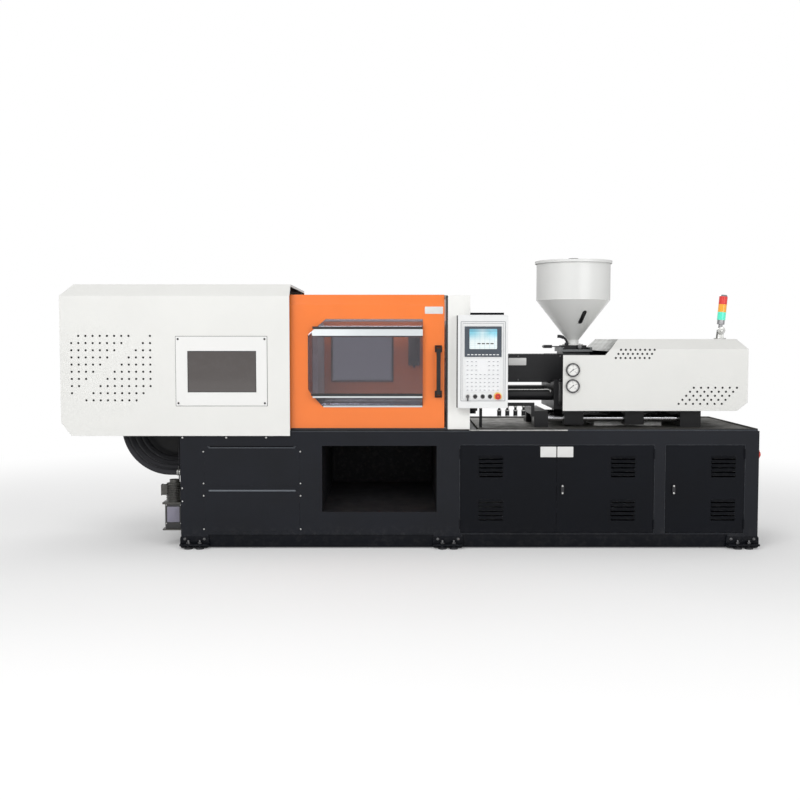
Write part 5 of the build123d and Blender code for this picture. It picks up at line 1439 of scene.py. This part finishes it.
@dataclass
class Base:
    """Dark cabinet base with its doors, feet and deck."""

    side: float = -590.0
    bay: tuple[Span, ...] = ((-640.0, 194.0), (-583.0, 570.0), (250.0, 740.0))
    tray: tuple[Span, ...] = ((1359.0, 1861.0), (-191.0, 191.0))
    panel_x: Span = (-1453.0, -788.0)
    panel_z: tuple[Span, ...] = ((121.0, 408.0), (446.0, 721.0))
    post_screws: tuple[Span, ...] = ((-1612.0, 335.0), (-1612.0, 427.0))
    vent_x: tuple[float, ...] = (563.0, 1494.0, 2201.0)
    vent_z: Span = (266.0, 574.0)
    vent_w: float = 168.0
    vent_pitch: float = 30.8
    vent_slots: int = 5
    plates_x: tuple[Span, ...] = ((911.0, 1023.0), (1030.0, 1142.0))
    plates_z: Span = (648.0, 722.0)
    doors_x: tuple[Span, ...] = ((347.0, 1711.0), (1795.0, 2348.0))
    door_z: Span = (113.0, 731.0)
    posts: tuple[Span, ...] = ((-1624.0, -1435.0), (164.0, 360.0), (2236.0, 2450.0))
    end_x: Span = (-1625.0, 2450.0)
    plinth_x: tuple[Span, ...] = ((-1434.0, 163.0), (361.0, 2235.0))
    plinth_z: Span = (8.0, 101.0)
    plinth_back: float = 7.0
    toe_z: Span = (3.0, 88.0)
    pad_y: float = -612.0
    covers_x: tuple[Span, ...] = ((392.0, 1002.0), (1030.0, 1706.0), (1800.0, 2216.0))
    covers_z: Span = (128.0, 718.0)
    deck_z: Span = (833.2, 842.0)
    deck_cuts: tuple[float, ...] = (-846.0, 414.0, 416.0, 1102.0, 1103.0, 2436.0)
    isolator: Place = (2466.0, -430.0, 651.0)

    def build(self) -> None:
        """Dresses the base and adds screws, seams and door furniture."""
        dress_node("base_frame", Palette.base_blue, (Palette.bay_black, lambda c, n: within(c, *self.bay)))
        dress_node("base_top", Palette.zinc_deck, (Palette.tray_bright, lambda c, n: within(c, *self.tray)),
                   (Palette.black_coat, lambda c, n: abs(c.y) > -self.side - 6.5 or n.z < -0.5))
        dress_node("levelling_feet", Palette.steel)
        dress_nodes(Palette.door_blue, "cabinet_door_left", "cabinet_door_middle", "cabinet_door_right")
        dress_nodes(Palette.black_plastic, "door_lock_middle", "door_lock_right")
        dress_node("isolator_knob", Palette.stop_red)
        dress_node("motor_pump", Palette.machine_grey)
        dress_node("control_rack", Palette.zinc)
        self.panel_screws()
        self.panel_beads()
        self.edge_line()
        self.louvres()
        self.lock_caps()
        self.door_trims()
        self.plinth()
        self.foot_lugs()
        self.isolator_grip()
        self.service_covers()

    def slots(self, middle: float, lift: float = 0.0) -> list[float]:
        """Z of a louvre field's hoods."""
        return [middle + ((number - (self.vent_slots - 1) / 2) * self.vent_pitch + lift)
                for number in range(self.vent_slots)]

    def off(self, turn: int, *depths: float) -> list[float]:
        """Y at depths behind the front face where turn is 1, and behind the back face where it is -1."""
        return [(self.side + depth) * turn for depth in depths]

    def service_covers(self) -> None:
        """Screwed sheet covers with louvres over the back of the cabinets."""
        face, z = -self.side, self.covers_z
        blocks("rear_service_covers", Palette.door_blue,
               [(x, (face - 0.3, face + 2.5), z, 0.8, 10.0) for x in self.covers_x])
        places = [place for x in self.covers_x for place in
                  grid(spread(*inset(x, 20), round((x[1] - x[0]) / 300) + 1), [face + 2.5], inset(z, 18))]
        repeat("rear_cover_screws", Palette.bright, socket_screw(6.0, 3.5, Facing.BACK), places)
        hood = block("hood", (-self.vent_w / 2, self.vent_w / 2), (-0.4, 6.5), (-8.0, 8.0), 1.2, 3.0)
        vents = [at for x in self.covers_x for at in inset(x, 150)]
        repeat("rear_cover_louvres", Palette.louvre_black, hood, grid(vents, [face + 2.5], self.slots(self.vent_z[1])))

    def plinth(self) -> None:
        """Recessed dark plates between the posts and rounded dark plates over the levelling feet: dark sheet that fills
        the shade under the base.
        """
        back, sides = self.plinth_back, (1, -1)
        rows = [(x, self.off(turn, back, back + 2.5), self.plinth_z, 0.6) for turn in sides for x in self.plinth_x]
        rows += [((x - 1.2, x + 1.2), (-438.0, 438.0), self.plinth_z, 0.6) for x in inset(self.end_x, back)]
        blocks("base_shade_plates", Palette.door_blue, rows)
        blocks("post_toe_shade_plates", Palette.door_blue,
               [(inset(x, -8), self.off(turn, -3.0, 4.0), self.toe_z, 1.5, 16.0) for x in self.posts for turn in sides])
        repeat("toe_plate_bolts", Palette.dark_steel, hex_bolt(8.0),
               [(at, self.side - 3.0, 66.0) for x in self.posts for at in inset(x, 26)])

    def foot_lugs(self) -> None:
        """Machine mounts at the posts: a lug with two levelling bolts and their pads, on both sides."""
        lugs, pads, bolts = [], [], []
        for x in self.posts:
            for turn in (1, -1):
                y = self.pad_y * turn
                lugs.append(block("lug", inset(x, -6), (self.off(turn, 2.0)[0], (self.pad_y - 30.0) * turn),
                                  (24.0, 36.0), 1.5, 14.0, 2))
                for at in (sum(x) / 2 - 40, sum(x) / 2 + 40):
                    pads.append(turned("pad", (at, y, 0), Facing.UP, [(30, 0), (30, 9), (27, 13), (13, 14), (13, 18)],
                                       28))
                    bolts.append(turned("stud", (at, y, 17), Facing.UP, [(7.5, 0), (7.5, 44), (6.5, 46)], 16))
                    bolts.append(turned("nut", (at, y, 36), Facing.UP, [(13, 0), (14.5, 1.2), (14.5, 11), (13, 12.2)],
                                        6))
        fit("foot_lugs", Palette.door_blue, lugs)
        fit("foot_pads", Palette.black_plastic, pads)
        fit("foot_bolts", Palette.dark_steel, bolts)

    def isolator_grip(self) -> None:
        """Red grip that reaches out from the isolator's knob."""
        x, y, z = self.isolator
        boss = turned("boss", self.isolator, Facing.RIGHT, [(21, 0), (21, 20), (19, 24), (19, 42), (16, 46)], 32, 0.8)
        grip = block("grip", (x + 0.5, x + 42), (y - 7, y + 7), (z - 29, z + 29), 2.5, 6.0, 0)
        fit("isolator_grip", Palette.stop_red, [boss, grip], "isolator_knob")

    def panel_screws(self) -> None:
        """Bright screws at the corners of the embossed side panels, and on the front post."""
        corners = [place for low, high in self.panel_z
                   for place in grid(inset(self.panel_x, -9), [self.side], (low + 16, high - 34))]
        post = [(x, self.side, z) for x, z in self.post_screws]
        repeat("side_panel_screws", Palette.bright, socket_screw(6.0, 4.0), corners + post)
        repeat("side_panel_screws_back", Palette.bright, socket_screw(6.0, 4.0, Facing.BACK),
               [(x, -y, z) for x, y, z in corners])

    def panel_beads(self) -> None:
        """Folded beads along the top of the side panels, on both sides, coloured as painted light: a lighter lower bead
        and lip as highlights, a near-black upper bead as shade in its groove, and lighter ends as highlights.
        """
        low, high = self.panel_z[0][1], self.panel_z[1][1]
        x = (self.panel_x[0] + 26, self.panel_x[1] - 24)
        for name, turn in (("side_panel_bead", 1), ("side_panel_bead_back", -1)):
            ends = [((at - 9, at + 9), self.off(turn, -6.6, 0), (high - 3, high + 5), 1.5, 3.0) for at in inset(x, 4)]
            for part, finish, rows in (
                    ("_lower", Palette.bead_blue, [(x, self.off(turn, -7.5, 0), (low - 3, low + 9), 3.2, 5.0, 1, 3)]),
                    ("_upper", Palette.louvre_black,
                     [(x, self.off(turn, -6.0, 0), (high - 4, high + 4), 2.6, 3.9, 1, 3)]),
                    ("_ends", Palette.trim_blue, ends),
                    ("_lip", Palette.bead_blue,
                     [(inset(x, 4), self.off(turn, -7.0, 0), (high - 8.5, high - 4.5), 0.8)])):
                blocks(name + part, finish, rows)

    def edge_line(self) -> None:
        """Aluminium angle along the front and back edges of the deck, painted but for a stretch by the column."""
        x0, x1, x2, x3, x4, x5 = self.deck_cuts
        foot = self.deck_z[0]
        for name, turn in (("deck_edge_angle", 1), ("deck_edge_angle_back", -1)):
            y = self.off(turn, 0.6, 4.6)
            blocks(name, Palette.zinc, [((x2, x3), y, self.deck_z, 0.8)])
            blocks(name + "_painted", Palette.trim_blue,
                   [((x4, x5), y, self.deck_z, 0.8), ((x0, x1), self.off(turn, -0.9, 2), (foot - 7.2, foot), 0.5)])

    def louvres(self) -> None:
        """Pressed louvre hoods over the slots of the cabinet doors."""
        for name, x in zip(("left", "middle", "right"), self.vent_x):
            hood = block("hood", (-self.vent_w / 2, self.vent_w / 2), (-6.0, 0.4), (-9.0, 9.0), 1.0, 4.0)
            with editing(hood):
                choose(hood, "VERT", lambda item: item.co.z < -0.004 and item.co.y < -0.004)
                bpy.ops.transform.translate(value=(0, -0.0045, 0.0))
                choose(hood, "VERT", lambda item: item.co.z > 0.004 and item.co.y < -0.003)
                bpy.ops.transform.translate(value=(0, 0.0045, 0.0))
            rows = [z for middle in self.vent_z for z in self.slots(middle, 13.0)]
            repeat(f"door_louvres_{name}", Palette.louvre_black, hood, grid([x], [self.side], rows),
                   f"cabinet_door_{name}")

    def lock_caps(self) -> None:
        """Bright caps and key cylinders on the swing handles of the cabinet doors."""
        for name in ("middle", "right"):
            low, high = (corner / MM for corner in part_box(f"door_lock_{name}"))
            x = (low.x + high.x) / 2
            caps = [turned("cap", (x, low.y, z), Facing.FRONT, [(6.5, -0.5), (6.5, 1.2), (5.2, 2.2), (3.0, 2.4)], 20)
                    for z in (low.z + 10, high.z - 10)]
            slit = block("slit", (x - 0.8, x + 0.8), (low.y - 2.6, low.y - 1.0), (high.z - 13, high.z - 7), 0.2)
            fit(f"door_lock_caps_{name}", Palette.bright, caps + [slit], f"door_lock_{name}")

    def door_trims(self) -> None:
        """Blank plates on two cabinet doors, and lighter strips round the cabinet openings as painted highlights on
        their edges.
        """
        for name, x in zip(("left", "middle"), self.plates_x):
            blocks(f"blank_plate_{name}", Palette.plate_grey, [(x, self.off(1, -0.9, 0.3), self.plates_z, 0.25, 3.0)],
                   f"cabinet_door_{name}")
        (z0, z1), y, rows = self.door_z, self.off(1, -1.0, 0.5), []
        for x in self.doors_x:
            rows.append((inset(x, -3), y, (z1 + 2.0, z1 + 5.0), 0.4))
            rows += [((at - 1.4, at + 1.4), y, (z0 - 3, z1 + 2), 0.4) for at in inset(x, -4)]
        blocks("cabinet_opening_highlights", Palette.trim_blue, rows)


@dataclass
class ClampMechanism:
    """Platens, tie bars, toggle, and the hoses and the lubricator at the clamp end."""

    hose: Place = (-2035.0, -500.0, 530.0)
    hose_step: Place = (26.0, 62.0, 26.0)
    hose_count: int = 4
    hose_top: float = 920.0
    base_end: float = -1627.0
    crimps: tuple[float, ...] = (0.0, 14.0, 28.0)
    motor: Span = (-1691.0, -470.0)
    grease: Span = (-1658.0, -470.0)
    tank_top: float = 315.2
    brass_foot: float = 477.0
    base_top: float = 832.0

    def build(self) -> None:
        """Dresses the clamp's castings, links and hoses."""
        dress_nodes(Palette.casting, "fixed_platen", "moving_platen", "rear_platen")
        dress_nodes(Palette.steel_y, "rear_link_upper", "rear_link_lower", "front_link_upper", "front_link_lower",
                    "crosshead", "crosshead_link_upper", "crosshead_link_lower", "ejector")
        dress_node("tie_bars", Palette.chrome)
        dress_node("clamp_cylinder", Palette.machine_grey)
        dress_node("clamp_hoses", Palette.rubber)
        dress_node("lubricator", Palette.pump_grey, (Palette.gloss_black, lambda c, n: c.z < self.tank_top),
                   (Palette.brass, lambda c, n: c.z > self.brass_foot
                    and math.hypot(c.x - self.grease[0], c.y - self.grease[1]) < 6),
                   (Palette.zinc, lambda c, n: c.z > self.base_top))
        self.hose_ferrules()
        self.lubricator_trim()

    def hose_ferrules(self) -> None:
        """Crimped ferrules at both ends of each hydraulic hose."""
        rings = []
        for number in range(self.hose_count):
            x, y, z = (start + step * number for start, step in zip(self.hose, self.hose_step))
            for lift in self.crimps:
                rings += [ring("crimp", at, facing, (18.6, 23.0), (0, 11), 1.5, 28) for at, facing in
                          (((x, y, self.hose_top - lift), Facing.DOWN), ((self.base_end - lift, y, z), Facing.LEFT))]
        fit("hose_ferrules", Palette.zinc, rings)

    def lubricator_trim(self) -> None:
        """Cooling fins of the small motor, its terminal case, and the tank's bands, level plate and cap screws."""
        x, y = self.motor
        fins = [ring("fin", (x, y, z), Facing.UP, (47.5, 61.0), (0, 4), 1.2, 36) for z in spread(332, 432, 9)]
        fins.append(ring("crown", (x, y, 442), Facing.UP, (30.0, 57.0), (0, 9), 3.0, 36))
        fins.append(block("case", (x - 88, x - 47), (y - 30, y + 30), (366.0, 438.0), 3.0, 8.0))
        fins.append(block("lid", (x - 92, x - 87), (y - 33, y + 33), (362.0, 442.0), 1.5, 8.0, 0))
        fit("lubricator_fins", Palette.pump_grey, fins)
        blocks("lubricator_bands", Palette.pump_grey,
               [((x - 80, x + 62), (y - 58.5, y + 58.5), z, 2.0, 10.0, 2) for z in ((303.0, 316.5), (117.0, 127.0))])
        blocks("lubricator_plate", Palette.plate_mauve,
               [((x - 45, x + 43), (y - 55.9, y - 54.6), (176.0, 286.0), 0.3, 5.0)])
        repeat("lubricator_screws", Palette.bright, socket_screw(4.0, 3.0),
               grid([x - 51, x + 51], [y - 54.8], [166.0, 298.0]))


@dataclass
class InjectionUnit:
    """Barrel, guard, carriage and the cover of the injection end."""

    gauge_x: float = 1147.0
    gauge_z: Span = (1145.0, 1259.0)
    dial_y: float = -511.0
    ticks: int = 21
    cheek: float = -497.0
    vents: tuple[tuple[Span, Span], ...] = (((1440.0, 1738.0), (1333.0, 1406.0)),
                                            ((1890.0, 2326.0), (1006.0, 1145.0)))
    fields: tuple[tuple[float, ...], ...] = ((1488.0, 1402.0, 34.0, 29.0, 18.0, 3, 8),
                                             (2008.0, 1133.0, 51.0, 28.6, 26.5, 5, 7))
    slope_x: Span = (1370.0, 1488.0)
    roof: float = 1390.0
    wall: float = 425.0
    end: float = 2386.0
    rods: tuple[Place, ...] = ((260.0, 900.0, 29.0), (235.0, 1076.0, 21.0))
    pipe_y: Span = (-286.0, 286.0)
    connectors: tuple[float, ...] = (645.0, 704.0, 763.0, 822.0)
    connector_y: float = -318.0
    guard_face: float = -150.0

    def build(self) -> None:
        """Dresses the injection unit."""
        # The column's white is lighter than the cover's: painted light.
        dress_node("column_cover", Palette.column_white)
        dress_node("carriage_rails", Palette.black_coat,
                   (Palette.chrome, lambda c, n: any(math.hypot(abs(c.y) - y, c.z - z) < radius
                                                     for y, z, radius in self.rods)))
        dress_nodes(Palette.black_coat, "water_manifold", "carriage_base", "carriage_cylinders", "barrel_guard",
                    "hopper_slide", "hopper_gate")
        dress_node("barrel", Palette.barrel_steel)
        dress_nodes(Palette.machine_grey, "injection_housing", "injection_drive")
        dress_node("screw", Palette.chrome)
        dress_node("injection_cover", Palette.unit_white, (Palette.dial_white, self.is_dial),
                   (Palette.gloss_black, self.is_gauge_rim), (Palette.inner_dark, self.is_inner),
                   (Palette.hole_dark, self.is_vent_hole),
                   (Palette.slope_grey, lambda c, n: n.x < -0.3 and n.z > 0.3 and within(c, self.slope_x)))
        dress_nodes(Palette.gloss_black, "gauge_needle_upper", "gauge_needle_lower")
        self.gauge_faces()
        self.fittings()
        y = (self.cheek + 0.2, self.cheek + 2.6)
        # Black sheets and dark rings in the cover's vent holes: painted shade.
        blocks("cover_shade_sheets", Palette.filter_black, [(x, y, z, 0.4) for x, z in self.vents], "carriage")
        vent_liners("cover_vent_shade_rings", self.holes(), self.cheek - 3.0, "carriage")

    def holes(self) -> list[Span]:
        """X and Z of the vent holes; each row is shifted to the left of the one above.

        Returns:
            The places.
        """
        return [(x + pitch * column - shift * row, z - drop * row)
                for x, z, pitch, drop, shift, rows, columns in self.fields
                for row in range(int(rows)) for column in range(int(columns))]

    def off_gauge(self, spot: Vector) -> float:
        """Distance of a spot from the nearer gauge's axis, in millimetres."""
        return min(math.hypot(spot.x - self.gauge_x, spot.z - z) for z in self.gauge_z)

    def is_dial(self, spot: Vector, normal: Vector) -> bool:
        """True on the faces of the two dials."""
        return spot.y < -500.5 and self.off_gauge(spot) < 43.9 and normal.y < -0.9

    def is_gauge_rim(self, spot: Vector, normal: Vector) -> bool:
        """True on the rims of the two gauges."""
        return spot.y < -500.3 and self.off_gauge(spot) < 50.0 and not self.is_dial(spot, normal)

    def is_inner(self, spot: Vector, normal: Vector) -> bool:
        """True on the cover's inner faces.

        Args:
            spot: the face's centre in millimetres.
            normal: the face's normal.

        Returns:
            Whether the face is one of them.
        """
        if abs(spot.y) > self.wall and looks_in(spot, normal):
            return True
        return (spot.z > self.roof and normal.z < -0.3) or (spot.x > self.end and normal.x < -0.5)

    def is_vent_hole(self, spot: Vector, normal: Vector) -> bool:
        """True on the walls of the vent holes."""
        y = (-500.4, self.cheek + 0.4)
        return abs(normal.y) <= 0.3 and any(within(spot, inset(x, -8), y, inset(z, -8)) for x, z in self.vents)

    def gauge_faces(self) -> None:
        """Ticks, numbers, rings, hubs and clips of the two pressure gauges."""
        ticks, figures, rings, hubs, clips = [], [], [], [], []
        for z in self.gauge_z:
            for number in range(self.ticks):
                turn = math.radians(-130 + 260 * number / (self.ticks - 1))
                long = number % 5 == 0
                bar = block("tick", (-0.9, 0.9) if long else (-0.5, 0.5), (-0.25, 0.1), (28 if long else 31.5, 37), 0.0)
                ticks.append(self.swing(bar, turn, self.dial_y, z))
                if long:
                    spot = (self.gauge_x + 22.0 * math.sin(turn), self.dial_y, z + 22.0 * math.cos(turn))
                    figures.append(self.figure(str(number), spot))
            rings.append(ring("ring", (self.gauge_x, self.dial_y - 5.0, z), Facing.FRONT, (38.6, 44.8), (-2.5, 0.7),
                              0.8, 48))
            hubs.append(ring("hub", (self.gauge_x, self.dial_y - 1.8, z), Facing.FRONT, (1.2, 4.2), (0.0, 1.4), 0.4,
                             20))
            clips += [self.swing(block("clip", (-5.0, 5.0), (-1.4, 0.4), (39.0, 47.5), 0.6),
                                 math.radians(45 + 90 * number), self.dial_y - 5.4, z) for number in range(4)]
        for name, finish, pieces in (("ticks", Palette.dark_mark, ticks), ("numbers", Palette.dark_mark, figures),
                                     ("rings", Palette.ring_grey, rings), ("hubs", Palette.bright, hubs),
                                     ("clips", Palette.gloss_black, clips)):
            fit(f"gauge_{name}", finish, pieces, "carriage")

    def swing(self, piece: Piece, turn: float, y: float, z: float) -> Piece:
        """Turns a piece round a gauge's axis, from twelve o'clock on.

        Args:
            piece: the piece, modelled round the origin.
            turn: the angle in radians.
            y: depth of its origin.
            z: height of the gauge's axis.

        Returns:
            The piece.
        """
        piece.rotation_euler = (0.0, turn, 0.0)
        piece.location = metres(self.gauge_x, y, z)
        return piece

    def figure(self, text: str, spot: Place) -> Piece:
        """Plain number on a dial, as a mesh.

        Args:
            text: the number.
            spot: its middle.

        Returns:
            The number's mesh, in place.
        """
        deselect()
        bpy.ops.object.text_add(rotation=(math.pi / 2, 0, 0))
        words = bpy.context.active_object
        words.data.body = text
        words.data.size, words.data.extrude = 9.0 * MM, 0.12 * MM
        words.data.align_x = words.data.align_y = "CENTER"
        bpy.ops.object.convert(target="MESH")
        bpy.context.active_object.location = metres(*spot)
        return settle("figure")

    def fittings(self) -> None:
        """Pipes of the carriage cylinders, collars of the water connectors, and the guard's plate and screws."""
        pipes = []
        for y in self.pipe_y:
            line = [(628, y, 1102), (650, y, 1110), (700, y, 1110), (960, y, 1110), (1006, y, 1110), (1024, y, 1102)]
            pipes.append(tube("pipe", line, 4.0))
            pipes += [turned("union", (x, y, 1092), Facing.UP, [(8, 0), (8, 9), (6, 9), (6, 15), (4.6, 15)], 6)
                      for x in (line[0][0], line[-1][0])]
        fit("cylinder_pipes", Palette.bright, pipes, "carriage")
        fit("manifold_collars", Palette.bright,
            [ring("collar", (x, self.connector_y, z), Facing.UP, radii, (0, tall), soft, steps)
             for x in self.connectors for z, radii, tall, soft, steps in
             ((956, (14.6, 16.4), 6, 0.5, 24), (984, (8.6, 13.0), 8, 1.0, 6), (918, (11.0, 15.6), 5, 1.0, 24))])
        face = self.guard_face
        blocks("guard_blank_plate", Palette.plate_grey,
               [((728.0, 860.0), (face - 0.9, face + 0.3), (1284.0, 1338.0), 0.2, 3.0)], "carriage")
        repeat("guard_screws", Palette.dark_steel, socket_screw(6.0, 3.5),
               grid([508.0, 800.0, 1112.0], [face], [1175.0, 1351.0]), "carriage")


@dataclass
class Hopper:
    """Sheet hopper with its lid, slide and levers."""

    x: float = 1228.0
    knob_foot: float = 2062.5
    knob_radius: float = 37.5
    junction: float = 1770.0
    flange: Span = (64.0, 1438.0)
    slot_z: float = 1640.0
    slot_turn: float = 14.0
    slot_lean: float = 8.0
    cone: Place = (44.5, 1472.0, 0.775)

    def build(self) -> None:
        """Dresses the hopper and adds its seam, bolts, latch and knob."""
        dress_node("hopper", Palette.hopper_white, (Palette.sight_black, self.is_sight_glass))
        dress_node("hopper_lid", Palette.hopper_white,
                   (Palette.black_plastic, lambda c, n: c.z > self.knob_foot
                    and math.hypot(c.x - self.x, c.y) < self.knob_radius))
        seam = ring("hopper_seam", (self.x, 0, self.junction), Facing.UP, (273.5, 276.2), (-2.2, 1.6), 0.8, 96)
        dress(seam, Palette.hopper_bright, "hopper")
        edge = ring("sight_glass_frame", (0, 0, 0), Facing.FRONT, (12.4, 16.6), (0.0, 2.0), 0.8, 32)
        self.stretch_frame(edge)
        dress(edge, Palette.gasket, "hopper")
        reach, z = self.flange
        turns = [math.radians(45 + 90 * number) for number in range(4)]
        repeat("hopper_flange_bolts", Palette.dark_steel, hex_bolt(7.0, Facing.UP),
               [(self.x + reach * math.cos(turn), reach * math.sin(turn), z) for turn in turns], "hopper")
        self.latch()

    def is_sight_glass(self, spot: Vector, normal: Vector) -> bool:
        """True inside the pill-shaped sight glass of the cone.

        Args:
            spot: the face's centre in millimetres.
            normal: the face's normal.

        Returns:
            Whether the face is one of them.
        """
        turn = math.radians(self.slot_turn)
        x, y = spot.x - self.x, spot.y
        if x * math.sin(turn) - y * math.cos(turn) < 0 or abs(spot.z - self.slot_z) > 46.5:
            return False
        across = x * math.cos(turn) + y * math.sin(turn)
        return abs(across - (spot.z - self.slot_z) * math.tan(math.radians(self.slot_lean))) < 13.2

    def stretch_frame(self, edge: Piece) -> None:
        """Pulls the ring into a pill and lays it on the cone at the sight glass.

        Args:
            edge: the ring, round the origin and facing the front.
        """
        with editing(edge):
            for side in (1.0, -1.0):
                choose(edge, "VERT", lambda item, side=side: item.co.z * side > 0)
                bpy.ops.transform.translate(value=(0, 0, side * 44.0 * MM))
        foot, foot_z, slope = self.cone
        reach = foot + (self.slot_z - foot_z) * slope
        turn, tilt = math.radians(self.slot_turn), math.atan(slope)
        lean = math.atan(math.tan(math.radians(self.slot_lean)) * math.cos(tilt))
        take(edge)
        edge.rotation_mode = "YXZ"
        edge.rotation_euler = (tilt, lean, turn)
        edge.location = metres(self.x + reach * math.sin(turn), -reach * math.cos(turn), self.slot_z)
        bpy.ops.object.transform_apply(location=True, rotation=True, scale=True)

    def latch(self) -> None:
        """Over-centre latch at the left of the neck and a knurled knob in front of the slide."""
        arm = tube("arm", [(1178, -52, 1446), (1170, -62, 1466), (1150, -72, 1487), (1124, -76, 1496)], 8.5)
        grip = tube("grip", [(1146, -73, 1489), (1126, -76, 1497), (1102, -77, 1499)], 12.0)
        foot = block("foot", (1160.0, 1188.0), (-66.0, -40.0), (1432.5, 1452.0), 2.0, 4.0)
        fit("hopper_latch", Palette.black_plastic, [arm, grip, foot], "hopper")
        knob = turned("slide_knob", (1262, -95, 1417), Facing.FRONT,
                      [(6, -1), (6, 10), (15, 11), (17, 14), (17, 26), (15, 30), (7, 31)], 24, 0.6)
        dress(knob, Palette.dark_steel, "hopper")
        low, high = (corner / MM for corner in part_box("hopper_gate"))
        middle = (low.z + high.z) / 2
        blocks("gate_sleeve", Palette.black_plastic,
               [((low.x + 4, low.x + 68), (-15.0, 15.0), (middle - 12, middle + 12), 3.0, 6.0, 0)], "hopper_gate")


@dataclass
class SignalTower:
    """Three-colour signal tower on its folding foot."""

    x: float = 2294.0
    pivot: float = 1541.0
    lean: float = 5.0
    lenses: tuple[float, ...] = (78.0, 136.0, 194.0, 252.0)
    pin_end: float = -175.0

    def build(self) -> None:
        """Dresses the tower and its foot."""
        dress_node("tower_foot", Palette.bright)
        green, amber, red, top = self.lenses
        dress_node("signal_tower", Palette.steel, (Palette.lens_green, lambda c, n: green < self.height(c) < amber),
                   (Palette.lens_amber, lambda c, n: amber <= self.height(c) < red),
                   (Palette.lens_red, lambda c, n: red <= self.height(c) < top))
        boss = turned("tower_pivot_boss", (self.x, self.pin_end + 0.4, self.pivot), Facing.FRONT,
                      [(15, 0), (15, 3), (26, 4), (28, 7), (28, 13), (25, 16), (12, 17), (12, 21), (9, 23)], 36, 0.5)
        dress(boss, Palette.bright, "signal_tower")

    def height(self, spot: Vector) -> float:
        """Distance of a spot from the pivot along the leaning stem, in millimetres."""
        lean = math.radians(self.lean)
        return (spot.x - self.x) * math.sin(lean) + (spot.z - self.pivot) * math.cos(lean)


# Studio


@dataclass
class Studio:
    """Floor, lamps, sky and camera, in metres and watts."""

    camera_at: Place = (-0.0773, -7.860, 1.4767)
    pitch: float = 3.35
    lens: float = 46.713
    fade: tuple[float, ...] = (3.0, 7.0, 0.15, 1.0)
    sky_strength: float = 0.55
    lamp_size: float = 4.0
    lamp_aim: Place = (0.0, 0.0, 1.0)
    lamps: tuple[tuple[str, Place, float], ...] = (("key_lamp", (-2.5, -6.0, 5.0), 195.0),
                                                   ("fill_lamp", (4.0, -6.0, 3.5), 106.0),
                                                   ("back_lamp", (0.0, 5.5, 5.0), 150.0))

    def build(self) -> None:
        """Builds the whole studio."""
        self.floor()
        self.sky()
        self.light()
        self.camera()
        bpy.context.scene.view_settings.view_transform = "Standard"

    def seen(self, bench: NodeBench, *rays: str) -> Socket:
        """Value of 1 on the named kinds of ray; returns its output.

        Args:
            bench: the tree's bench.
            *rays: names of the kinds of ray.

        Returns:
            The value's socket.
        """
        path = bench.add("LightPath").outputs
        value = path[rays[0]]
        for ray in rays[1:]:
            value = bench.math("MAXIMUM", value, path[ray])
        return value

    def place(self, data: bpy.types.ID, at: Place) -> Piece:
        """Adds a lamp or a camera to the scene at its place.

        Args:
            data: the lamp's or camera's data.
            at: where its origin goes.

        Returns:
            The new object.
        """
        thing = bpy.data.objects.new(data.name, data)
        bpy.context.collection.objects.link(thing)
        thing.location = at
        return thing

    def floor(self) -> None:
        """Large pale plain floor that fades to white far out."""
        deselect()
        bpy.ops.mesh.primitive_plane_add(size=60.0, location=(0, 0, 0))
        ground = bpy.context.active_object
        ground.name = "floor"
        material = bpy.data.materials.new("pale_floor")
        material.use_nodes = True
        bench = NodeBench(material.node_tree)
        diffuse = bench.add("BsdfDiffuse", {"Color": (0.94, 0.94, 0.94, 1.0)})
        white = bench.add("Emission", {"Color": (1, 1, 1, 1), "Strength": 1.0})
        spot = bench.add("TexCoord").outputs["Object"]
        far = bench.add("VectorMath", {0: spot}, operation="LENGTH").outputs["Value"]
        direct = self.seen(bench, "Is Camera Ray", "Is Glossy Ray", "Is Transmission Ray")
        factor = bench.math("MULTIPLY", bench.ramp(far, *self.fade), direct)
        mix = bench.add("MixShader", {0: factor, 1: diffuse.outputs[0], 2: white.outputs[0]})
        bench.add("OutputMaterial", {"Surface": mix.outputs[0]})
        ground.data.materials.append(material)

    def sky(self) -> None:
        """Even sky, white where the camera or a pane sees it."""
        world = bpy.data.worlds.new("studio_sky")
        bpy.context.scene.world = world
        world.use_nodes = True
        bench = NodeBench(world.node_tree)
        even, white = (bench.add("Background", {"Color": (1, 1, 1, 1), "Strength": strength}).outputs[0]
                       for strength in (self.sky_strength, 1.0))
        mix = bench.add("MixShader", {0: self.seen(bench, "Is Camera Ray", "Is Transmission Ray"), 1: even, 2: white})
        bench.add("OutputWorld", {"Surface": mix.outputs[0]})

    def light(self) -> None:
        """Large soft lamps over the operator's side and behind."""
        for name, at, power in self.lamps:
            data = bpy.data.lights.new(name, "AREA")
            data.shape, data.size, data.energy = "SQUARE", self.lamp_size, power
            lamp = self.place(data, at)
            lamp.rotation_euler = (Vector(self.lamp_aim) - Vector(at)).to_track_quat("-Z", "Y").to_euler()

    def camera(self) -> None:
        """Camera at the photograph's place, looking along +Y."""
        data = bpy.data.cameras.new("camera")
        data.lens, data.sensor_width = self.lens, 36.0
        data.clip_end = 200.0
        camera = self.place(data, self.camera_at)
        camera.rotation_euler = (math.radians(90.0 - self.pitch), 0.0, 0.0)
        bpy.context.scene.camera = camera


def main() -> None:
    """Builds every sub-assembly in order."""
    logging.basicConfig(level=logging.INFO, format="%(message)s")
    for part in (Base(), ClampCover(), ClampMechanism(), SafetyDoors(), OperatorPanel(), InjectionUnit(), Hopper(),
                 SignalTower(), Studio()):
        LOG.info("building %s", type(part).__name__)
        part.build()


if __name__ == "__main__":
    main()
